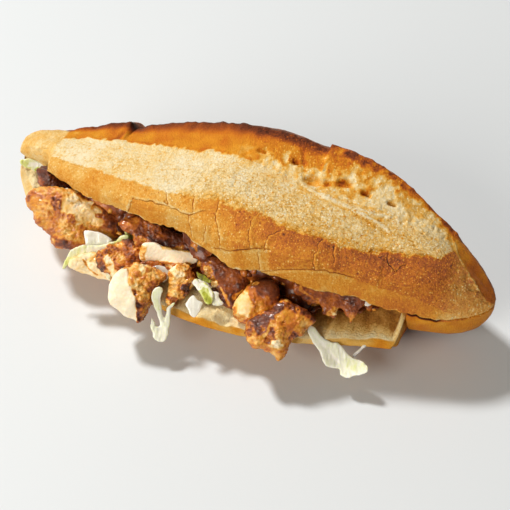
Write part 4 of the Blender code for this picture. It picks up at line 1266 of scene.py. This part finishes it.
# %% Make the pieces of chicken
for k, (name, (outline, thick, options, base, spots)) in enumerate(MEAT.items()):
    piece = slab("meat_" + name[-2:], name, outline, thick, seed=100 + 11 * k, **options)
    points, _ = read(piece.data)
    flat = on_fan(points, name)
    tone_value, rough = painted(flat, base, spots, 300 + k)
    if name in FACES:
        corners, face_tone, soft = FACES[name]
        face = cut_face(flat, corners, 400 + k, soft)
        tone_value, rough = mix(tone_value, face_tone, face), mix(rough, 0.03, face)
    field = crumple(piece, rough, 500 + 13 * k, min(1.0, thick / 7))
    tone_value = tone_value + rough * (
        0.07 * field["big"] - 0.06 * field["folds"] - 0.07 * field["fine"] - 0.04 * field["grit"]
        + 0.08 * layers(flat, 5.0, 2, 700 + k)) + mix(0.02, 0.06, rough) * field["fibres"]
    set_value(piece.data, "bake", np.clip(tone_value, 0, 0.85))
    set_value(piece.data, "wet", (0.24 + 0.2 * np.clip(rough, 0, 1)) * ramp(tone_value, 0.1, 0.3))
    set_value(piece.data, "rough", np.clip(rough, 0, 1))
    piece.data.materials.append(meat_skin)
    keep(piece, "chicken", name)
meat_faces = sum(len(o.data.polygons) for o in scene.objects if o.name.startswith("meat_"))
print("triangles in the meat:", 2 * meat_faces)

# %% [markdown]
# ## Lettuce and onion
#
# The salad is shredded white cabbage-like lettuce: ribs are cream and crisp, thin blades are green,
# and a strip forks where its rib splits. Onion is cut into small translucent pieces. Both are
# slabs too, only thinner and crisper at the rim, and curled so that they stand off the meat. The
# finish mixes cream and green by a stored value, adds fine veins, and lets some light through.

# %% The salad's finishes
LEAF_STOPS = ((0.0, "FBF8E6"), (0.25, "EDEFD2"), (0.5, "D8DC8A"), (0.75, "B2B63A"), (1.0, "5A5612"))
leaf, tree, shader = new_material("crisp lettuce")
place = own_place(tree)
veins = effect(tree, grain_group, Vector=place, Per_Metre=260.0, Rough=0.7)
stretch = add(tree, "ShaderNodeMapping", Vector=place)
stretch.inputs["Scale"].default_value = (1.0, 0.18, 0.18)
lines = effect(tree, grain_group, Vector=stretch.outputs[0], Per_Metre=700.0, Rough=0.5)
green = plus(tree, stored(tree, "green"), veins["Value"], 0.35)
green = plus(tree, green, lines["Value"], 0.45)
height = maths(tree, "ADD", lines["Value"], veins["Value"])
plug(tree, shader, Base_Color=colour_ramp(tree, green, LEAF_STOPS), Roughness=0.38,
     Normal=raised(tree, height, 0.4, 0.0005), Subsurface_Weight=0.35, Subsurface_Scale=0.004,
     Coat_Weight=0.15, Coat_Roughness=0.2)
shader.inputs["Subsurface Radius"].default_value = (0.9, 1.0, 0.4)

ONION_STOPS = ((0.2, "EAE8D4"), (0.5, "FAF6E6"), (0.8, "FFFDF2"))
onion_skin, tree, shader = new_material("cut onion")
place = own_place(tree)
layers_of_onion = effect(tree, grain_group, Vector=place, Per_Metre=420.0, Rough=0.5)
tint = maths(tree, "ADD", layers_of_onion["Value"], 0.5)
plug(tree, shader, Base_Color=colour_ramp(tree, tint, ONION_STOPS), Roughness=0.26,
     Subsurface_Weight=0.5, Subsurface_Scale=0.005, Coat_Weight=0.4, Coat_Roughness=0.15)
shader.inputs["Subsurface Radius"].default_value = (1.0, 1.0, 0.9)
print("finishes:", leaf.name, onion_skin.name)

# %% Leaves and onion pieces, in millimetres on the fan's plane
SALAD = {
    "lettuce_01": (((-17.5, -9), (-16, -5.5), (-14.5, -2.5), (-12, 1), (-6.5, 3), (1.5, 3), (7, 3.5),
                    (12.5, 6), (17.5, 9), (19, 7), (13.5, 2.5), (7, -0.5), (1.5, -2.2), (-5, -3),
                    (-11.5, -4.2), (-14.5, -6.8), (-16, -9.5)),
                   2.2, {"ahead": 2.5, "curl": (0.05, 0.35, 0.5)}, (0.34, 0.5), (
        (-17, -8, -14, -4, 2, 0.5, 0.5), (-3, 1, 5, 1.5, 1.6, 0.12, 0.5), (12, 5, 18, 8, 2, 0.5, 0.5),
        (-10, -3.6, 0, -2.4, 0.9, 0.55, 0.5))),
    "lettuce_02": (((-4.5, 11), (-1.5, 13.5), (0.3, 11.5), (-0.5, 6.5), (0.2, 0), (0.9, -5.6), (2.0, -1),
                    (2.6, 2), (4.4, 4), (7, 5.2), (6, 2.8), (4.6, 0.8), (4.2, -4.5), (3.5, -9), (1.8, -15),
                    (-1.2, -16), (-4.6, -14.2), (-5.2, -10.5), (-6, -6.5), (-5.3, -3), (-4, -5),
                    (-3.4, -7.2), (-1.5, -7.4), (-1.6, -4.4), (-3.5, 2), (-5.2, 7)),
                   2.4, {"ahead": 2.0, "curl": (0.0, 0.25, 1.2), "grow": 0.0, "voxel": 0.4, "times": 2},
                   (0.16, 0.5), (
        (-3.5, 9, -2.5, 2, 1.6, 0.3, 0.5), (-0.3, 9, -0.2, 2, 0.8, 0.05, 0.5),
        (4, 4, 6, 4.5, 1.5, 0.4, 0.5), (-4.5, -12, 1, -14, 1.5, 0.12, 0.5))),
    "lettuce_03": (((-7, 6.5), (-5.1, 7.4), (-3.4, 5.6), (-1, 5.3), (0.9, 3.6), (2.2, 1.7), (3, -1.2),
                    (2.9, -4.3), (1, -5.6), (-0.8, -4.6), (-2.1, -2), (-2.9, 0.4), (-5, 2.1), (-6.4, 4.3)),
                   1.8, {"ahead": 0.5, "curl": (0.1, -0.2, 1.5)}, (0.55, 0.5), (
        (-6, 6, -4.5, 3.6, 1.7, 0.02, 0.5), (-3, 5, 0.8, 3.2, 1.0, 0.16, 0.5),
        (0.8, 3.2, 2.7, -1, 0.8, 0.22, 0.5), (-1, 0, 1.2, -4, 1.9, 0.84, 0.5))),
    "lettuce_04": (((-14, 13.5), (-11.5, 12.3), (-8, 8.2), (-2.8, 4.5), (1, 4), (5, 0.3), (8.3, -3.4),
                    (13.3, -5), (16, -7.8), (15, -10.8), (10, -12), (6.3, -13.2), (2.8, -12), (1.8, -8.6),
                    (-4.4, -7.8), (-8.4, -0.6), (-12.4, 6.4), (-14.3, 10.5)),
                   1.5, {"ahead": 1.0, "curl": (0.10, 0.0, 1.4)}, (0.18, 0.5), (
        (9, -8, 15, -8, 4, 0.30, 0.5), (-12, 10, 2, -6, 0.7, 0.0, 0.5), (6, -10, 8, -12, 2, 0.14, 0.5))),
    "lettuce_05": (((-8, 3.4), (-3, 4.2), (3.5, 2.6), (6, 0.6), (6, -3.4), (1, -2.4), (-4, 0), (-7.5, 1.6)),
                   2.0, {"curl": (0.0, 0.3, 0.8)}, (0.35, 0.5), (
        (-8, 1, -4, 0.5, 2, 0.5, 0.5), (2, -2, 6, -1.5, 1.5, 0.8, 0.5),
        (-2, 1.5, 5, 1.5, 1.2, 0.1, 0.5))),
    "lettuce_06": (((-4.5, 2.5), (-2, 4), (0, 1), (2.5, -1.3), (2.6, -4), (0.2, -6.5), (-2.5, -5),
                    (-1, -2), (-3, -1)), 1.8, {"ahead": 1.5}, (0.5, 0.5),
                    ((-1, 0, 1, -3, 1.2, 0.75, 0.5),)),
    "onion_01": (((-5, 5.5), (-1, 5.5), (5, 3.4), (9.2, 0.8), (7, -3), (1.7, -4.3), (-3.5, -3.6),
                  (-5, 0.6)), 3.6, {"ahead": 1.5, "curl": (0.0, 0.2, 0.6)}, (0.0, 0.3), ()),
    "onion_02": (((-3, 3.2), (0, 3.4), (6, 0.8), (7, -0.8), (3, -2), (-1, -0.5), (-3.4, 1)), 2.6,
                 {"ahead": 0.5}, (0.0, 0.3), ()),
    "onion_03": (((0.6, 5.4), (2.2, 3), (5.3, 1.5), (4, -1.6), (1.6, -5.8), (-0.6, -4.8), (-1.9, -2),
                  (-3.4, 0.6), (-2.2, 3)), 2.2, {"ahead": 2.5, "rim": 0.9, "ragged": 0.1}, (0.0, 0.3), ()),
}

# %% Further scraps that lie among the large pieces
# name: the piece it is placed by, outline, thickness, options, finish, greenness
SCRAPS = {
    "onion_slip": ("chicken_13", ((-5, -1.2), (-2.6, 1), (1.8, 1), (4.5, -1.8), (4, -5.8), (0, -7),
                                  (-4.4, -5.3)), 2.4, {"ahead": 1.5}, onion_skin, 0.0),
    "leaf_stub": ("lettuce_03", ((3.2, 0.3), (6.1, 0.6), (6.3, -2), (7.2, -3.9), (9, -5.6), (6.2, -6.3),
                                 (3.4, -5.2)), 1.6, {}, leaf, 0.22),
    "leaf_blade": ("lettuce_03", ((-5.8, 11.4), (-4.2, 11.2), (-0.9, 8.9), (2.3, 6.5), (1.4, 5.4),
                                  (-1.7, 5.8),
                                  (-4.2, 7.2), (-5.6, 9.6)), 1.0, {"ahead": -0.5, "grow": 0.1}, leaf, 0.95),
    "leaf_hook": ("chicken_12", ((8.3, 5), (10.2, 4.5), (12.1, 2.6), (12.1, 0.4), (11, -2.1), (9.4, -5.1),
                                 (8.6, -7.5), (7, -5.3), (8.3, -2.6), (9.7, -0.2), (10, 2), (8.6, 3.6)),
                  1.4, {"ahead": 5.0, "grow": 0.1}, leaf, 0.3),
    "onion_chip": ("chicken_11", ((19, 1), (21, 2.2), (23, 1), (22.6, -1), (20, -1.4)), 2.0, {},
                   onion_skin, 0.0),
    "leaf_thread": ("lettuce_04", ((7.4, -2.6), (9, -2), (17.3, 5.4), (17.9, 4.6), (9.4, -3.2),
                                   (7.8, -3.8)), 0.8, {"ragged": 0.15}, leaf, 0.02),
}


def dress_leaf(obj, flat, base, spots, finish, seed):
    """Fine pleats along a leaf, its greenness, and its finish."""
    points, normals = read(obj.data)
    pleats = 0.5 * noise(flat * np.array([0.9, 0.3, 0.3]), 0.9, seed) + 0.8 * noise(flat, 3.0, seed + 1)
    write(obj.data, points + normals * (0.15 * pleats)[:, None])
    shade, _ = painted(flat, base, spots, seed + 2)
    set_value(obj.data, "green", np.clip(shade + 0.05 * pleats, 0, 1))
    obj.data.materials.append(finish)


FINE = {"grow": 0.3, "soft": 1.2, "rim": 0.55, "voxel": 0.5, "times": 3, "ragged": 0.25}
for k, (name, (outline, thick, options, base, spots)) in enumerate(SALAD.items()):
    finish = leaf if name.startswith("lettuce") else onion_skin
    label = name.replace("lettuce", "leaf").replace("onion", "onion_piece")
    piece = slab(label, name, outline, thick, seed=900 + 7 * k, **{**FINE, **options})
    dress_leaf(piece, on_fan(read(piece.data)[0], name), base, spots, finish, 950 + 5 * k)
    keep(piece, name.split("_")[0], name)
for k, (label, (name, outline, thick, options, finish, shade)) in enumerate(SCRAPS.items()):
    piece = slab(label, name, outline, thick, seed=990 + 7 * k, **{**FINE, **options})
    dress_leaf(piece, on_fan(read(piece.data)[0], name), (shade, 0.5), (), finish, 995 + 5 * k)
    keep(piece, "lettuce" if finish is leaf else "onion")
print("leaves, onion pieces and scraps:", len(SALAD) + len(SCRAPS))

# %% [markdown]
# ## The imported filling behind them
#
# Deeper in the mouth, meat scraps and shredded lettuce are pressed into one heap. Its imported solid
# marks how far the heap reaches. Here it becomes a darker core, a few millimetres smaller, and two
# Geometry Nodes scatters cover it: shreds of lettuce, each a short ribbon with its own crook, and
# scraps of meat. The core's dark brown is partly roasted meat and partly painted shade, darkest
# towards the top where the lid overhangs. Points are spread over the core, a small shape is placed
# on each, and noise then bends every copy differently.

# %% The core of the heap
CORE_INSET_MM = 3.4  # room for the shreds and scraps that will cover the core
bed = nodes["lettuce_bed"]
core = shown("filling_core", bed.data.copy())
core.data.name = "filling_core"
core.data.materials.clear()
applied(core, even_net(1.8), rounded(6))
points, normals = read(core.data)
points = points - normals * CORE_INSET_MM
points = points + normals * (1.3 * layers(points, 7.0, 3, 810))[:, None]
write(core.data, points)
applied(core, finer(1))
points, normals = read(core.data)
# painted shade: the core is darker towards the top, under the lid, over a roasted brown
set_value(core.data, "bake", np.clip(0.74 - 0.32 * (1 - ramp(points[:, 2], 14, 28))
                                     + 0.14 * layers(points, 8.0, 2, 811), 0, 0.85))
set_value(core.data, "wet", np.full(len(points), 0.35))
facing_out = ramp(normals @ FAN[2], 0.05, 0.5) * (points[:, 2] > 3)
core.data.materials.append(meat_skin)
keep(core, "chicken", "lettuce_bed")
print("core of the heap:", len(core.data.polygons), "faces")

# %% A tree that scatters small shapes over a surface


def random_value(tree, low, high, seed):
    node = add(tree, "FunctionNodeRandomValue", {"data_type": "FLOAT"}, _2=low, _3=high)
    tree.links.new(seed, node.inputs["Seed"])
    return node.outputs[1]


def scatter(tree, inp, shape, low=0.6, high=1.35, tilt=0.5):
    """Spreads the shape over the surface, denser where it is marked, and realizes the copies."""
    density = maths(tree, "MULTIPLY", inp["Per Square Metre"], point_value(tree, "cover"))
    spread = add(tree, "GeometryNodeDistributePointsOnFaces", Mesh=inp["Geometry"], Density=density,
                 Seed=inp["Seed"])
    turn = add(tree, "FunctionNodeRandomValue", {"data_type": "FLOAT_VECTOR"},
               _0=(-tilt, -tilt, -pi), _1=(tilt, tilt, pi))
    tree.links.new(inp["Seed"], turn.inputs["Seed"])
    rotation = add(tree, "FunctionNodeRotateRotation", {"rotation_space": "LOCAL"},
                   _0=spread.outputs["Rotation"], _1=turn.outputs[0])
    size = random_value(tree, low, high, maths(tree, "ADD", inp["Seed"], 5.0))
    copies = add(tree, "GeometryNodeInstanceOnPoints", Points=spread.outputs["Points"], Instance=shape,
                 Rotation=rotation.outputs[0], Scale=size)
    kind = random_value(tree, 0.0, 1.0, maths(tree, "ADD", inp["Seed"], 9.0))
    named = add(tree, "GeometryNodeStoreNamedAttribute", {"data_type": "FLOAT", "domain": "INSTANCE"},
                Geometry=copies.outputs[0], Name="kind", Value=kind)
    return add(tree, "GeometryNodeRealizeInstances", Geometry=named.outputs[0]).outputs[0]


def crooked(tree, geometry, amount, size):
    """Bends each copy differently by moving every point by smooth noise."""
    spot = add(tree, "GeometryNodeInputPosition").outputs[0]
    wave = add(tree, "ShaderNodeTexNoise", Vector=spot, Scale=maths(tree, "DIVIDE", 1.0, size), Detail=1.0)
    centred = add(tree, "ShaderNodeVectorMath", {"operation": "SUBTRACT"}, _0=wave.outputs["Color"],
                  _1=(0.5, 0.5, 0.5)).outputs[0]
    push = add(tree, "ShaderNodeVectorMath", {"operation": "SCALE"}, _0=centred, Scale=amount).outputs[0]
    return add(tree, "GeometryNodeSetPosition", Geometry=geometry, Offset=push).outputs[0]


COMMON = (("Geometry", "Geometry", None), ("Per Square Metre", "Float", 20000.0), ("Seed", "Int", 1),
          ("Crook", "Float", 0.004), ("Material", "Material", None))

shreds, inp, out = new_tree(
    "shreds", "GeometryNodeTree",
    COMMON + (("Length", "Float", 0.014), ("Width", "Float", 0.0022), ("Thickness", "Float", 0.0007)),
    (("Geometry", "Geometry", None),))
half = maths(shreds, "MULTIPLY", inp["Length"], 0.5)
start = add(shreds, "ShaderNodeCombineXYZ", X=maths(shreds, "MULTIPLY", half, -1.0)).outputs[0]
stop = add(shreds, "ShaderNodeCombineXYZ", X=half).outputs[0]
spine = add(shreds, "GeometryNodeCurvePrimitiveLine", Start=start, End=stop).outputs[0]
spine = add(shreds, "GeometryNodeResampleCurve", Curve=spine, Count=9).outputs[0]
band = add(shreds, "GeometryNodeCurvePrimitiveQuadrilateral", Width=inp["Width"],
           Height=inp["Thickness"]).outputs[0]
ribbon = add(shreds, "GeometryNodeCurveToMesh", Curve=spine, Profile_Curve=band, Fill_Caps=True).outputs[0]
bent = crooked(shreds, scatter(shreds, inp, ribbon), inp["Crook"], 0.009)
realized(shreds, bent, inp["Material"], out["Geometry"])

crumbs, inp, out = new_tree(
    "crumbs", "GeometryNodeTree", COMMON + (("Size", "Float", 0.002), ("Flatness", "Float", 0.6)),
    (("Geometry", "Geometry", None),))
ball = add(crumbs, "GeometryNodeMeshIcoSphere", Radius=inp["Size"], Subdivisions=1).outputs[0]
squash_size = add(crumbs, "ShaderNodeCombineXYZ", X=1.0, Y=0.75, Z=inp["Flatness"]).outputs[0]
lump = add(crumbs, "GeometryNodeTransform", Geometry=ball, Scale=squash_size).outputs[0]
bent = crooked(crumbs, scatter(crumbs, inp, lump, low=0.45), inp["Crook"], 0.0016)
realized(crumbs, bent, inp["Material"], out["Geometry"])


def scattered(name, host, tree, slot, values):
    """Runs a scatter over a copy of the host, and keeps only what it made."""
    obj = shown(name, host.data.copy())
    run_tree(obj, tree, values)
    keep(obj, slot)
    print(name + ":", len(obj.data.polygons), "faces")


# %% Shreds and scraps over the heap
shred_leaf, tree, shader = new_material("lettuce shreds")
place = own_place(tree)
veins = effect(tree, grain_group, Vector=place, Per_Metre=260.0, Rough=0.7)
green = plus(tree, maths(tree, "MULTIPLY", stored(tree, "kind"), 0.75), veins["Value"], 0.5)
plug(tree, shader, Base_Color=colour_ramp(tree, green, LEAF_STOPS), Roughness=0.4,
     Subsurface_Weight=0.3, Subsurface_Scale=0.003)
scrap_meat, tree, shader = new_material("scraps of meat")
place = own_place(tree)
patches = effect(tree, grain_group, Vector=place, Per_Metre=420.0, Rough=0.6)
tone = plus(tree, 0.42, stored(tree, "kind"), 0.45)
tone = plus(tree, tone, patches["Value"], 0.5)
plug(tree, shader, Base_Color=colour_ramp(tree, tone, MEAT_STOPS), Roughness=0.35, Coat_Weight=0.5,
     Coat_Roughness=0.15)
set_value(core.data, "cover", np.clip(facing_out * (1 - ramp(points[:, 2], 24, 29)), 0, 1))
scattered("shredded_lettuce", core, shreds, "lettuce", {
    "Per Square Metre": 30000.0, "Seed": 4, "Length": 0.016, "Width": 0.0024, "Thickness": 0.0008,
    "Crook": 0.007, "Material": shred_leaf})
set_value(core.data, "cover", np.clip(facing_out * ramp(points[:, 2], 20, 28), 0, 1))
scattered("meat_scraps", core, crumbs, "chicken", {
    "Per Square Metre": 26000.0, "Seed": 11, "Size": 0.0034, "Flatness": 0.55, "Crook": 0.0022,
    "Material": scrap_meat})

# %% [markdown]
# ## Semolina on the crust
#
# The dough was turned in coarse semolina, and baked grains of it stand on the crust, close together
# on the browner right half. They are the same scatter again, with the roll as the surface to
# cover and grains a third of a millimetre across.

# %% Grains on the crust
semolina, tree, shader = new_material("baked semolina")
grain_tone = plus(tree, 0.36, stored(tree, "kind"), 0.22)
plug(tree, shader, Base_Color=colour_ramp(tree, grain_tone, CRUST_STOPS), Roughness=0.5)
scattered("semolina_grains", roll, crumbs, "bread", {
    "Per Square Metre": 420000.0, "Seed": 3, "Size": 0.00028, "Flatness": 0.6, "Crook": 0.00012,
    "Material": semolina})
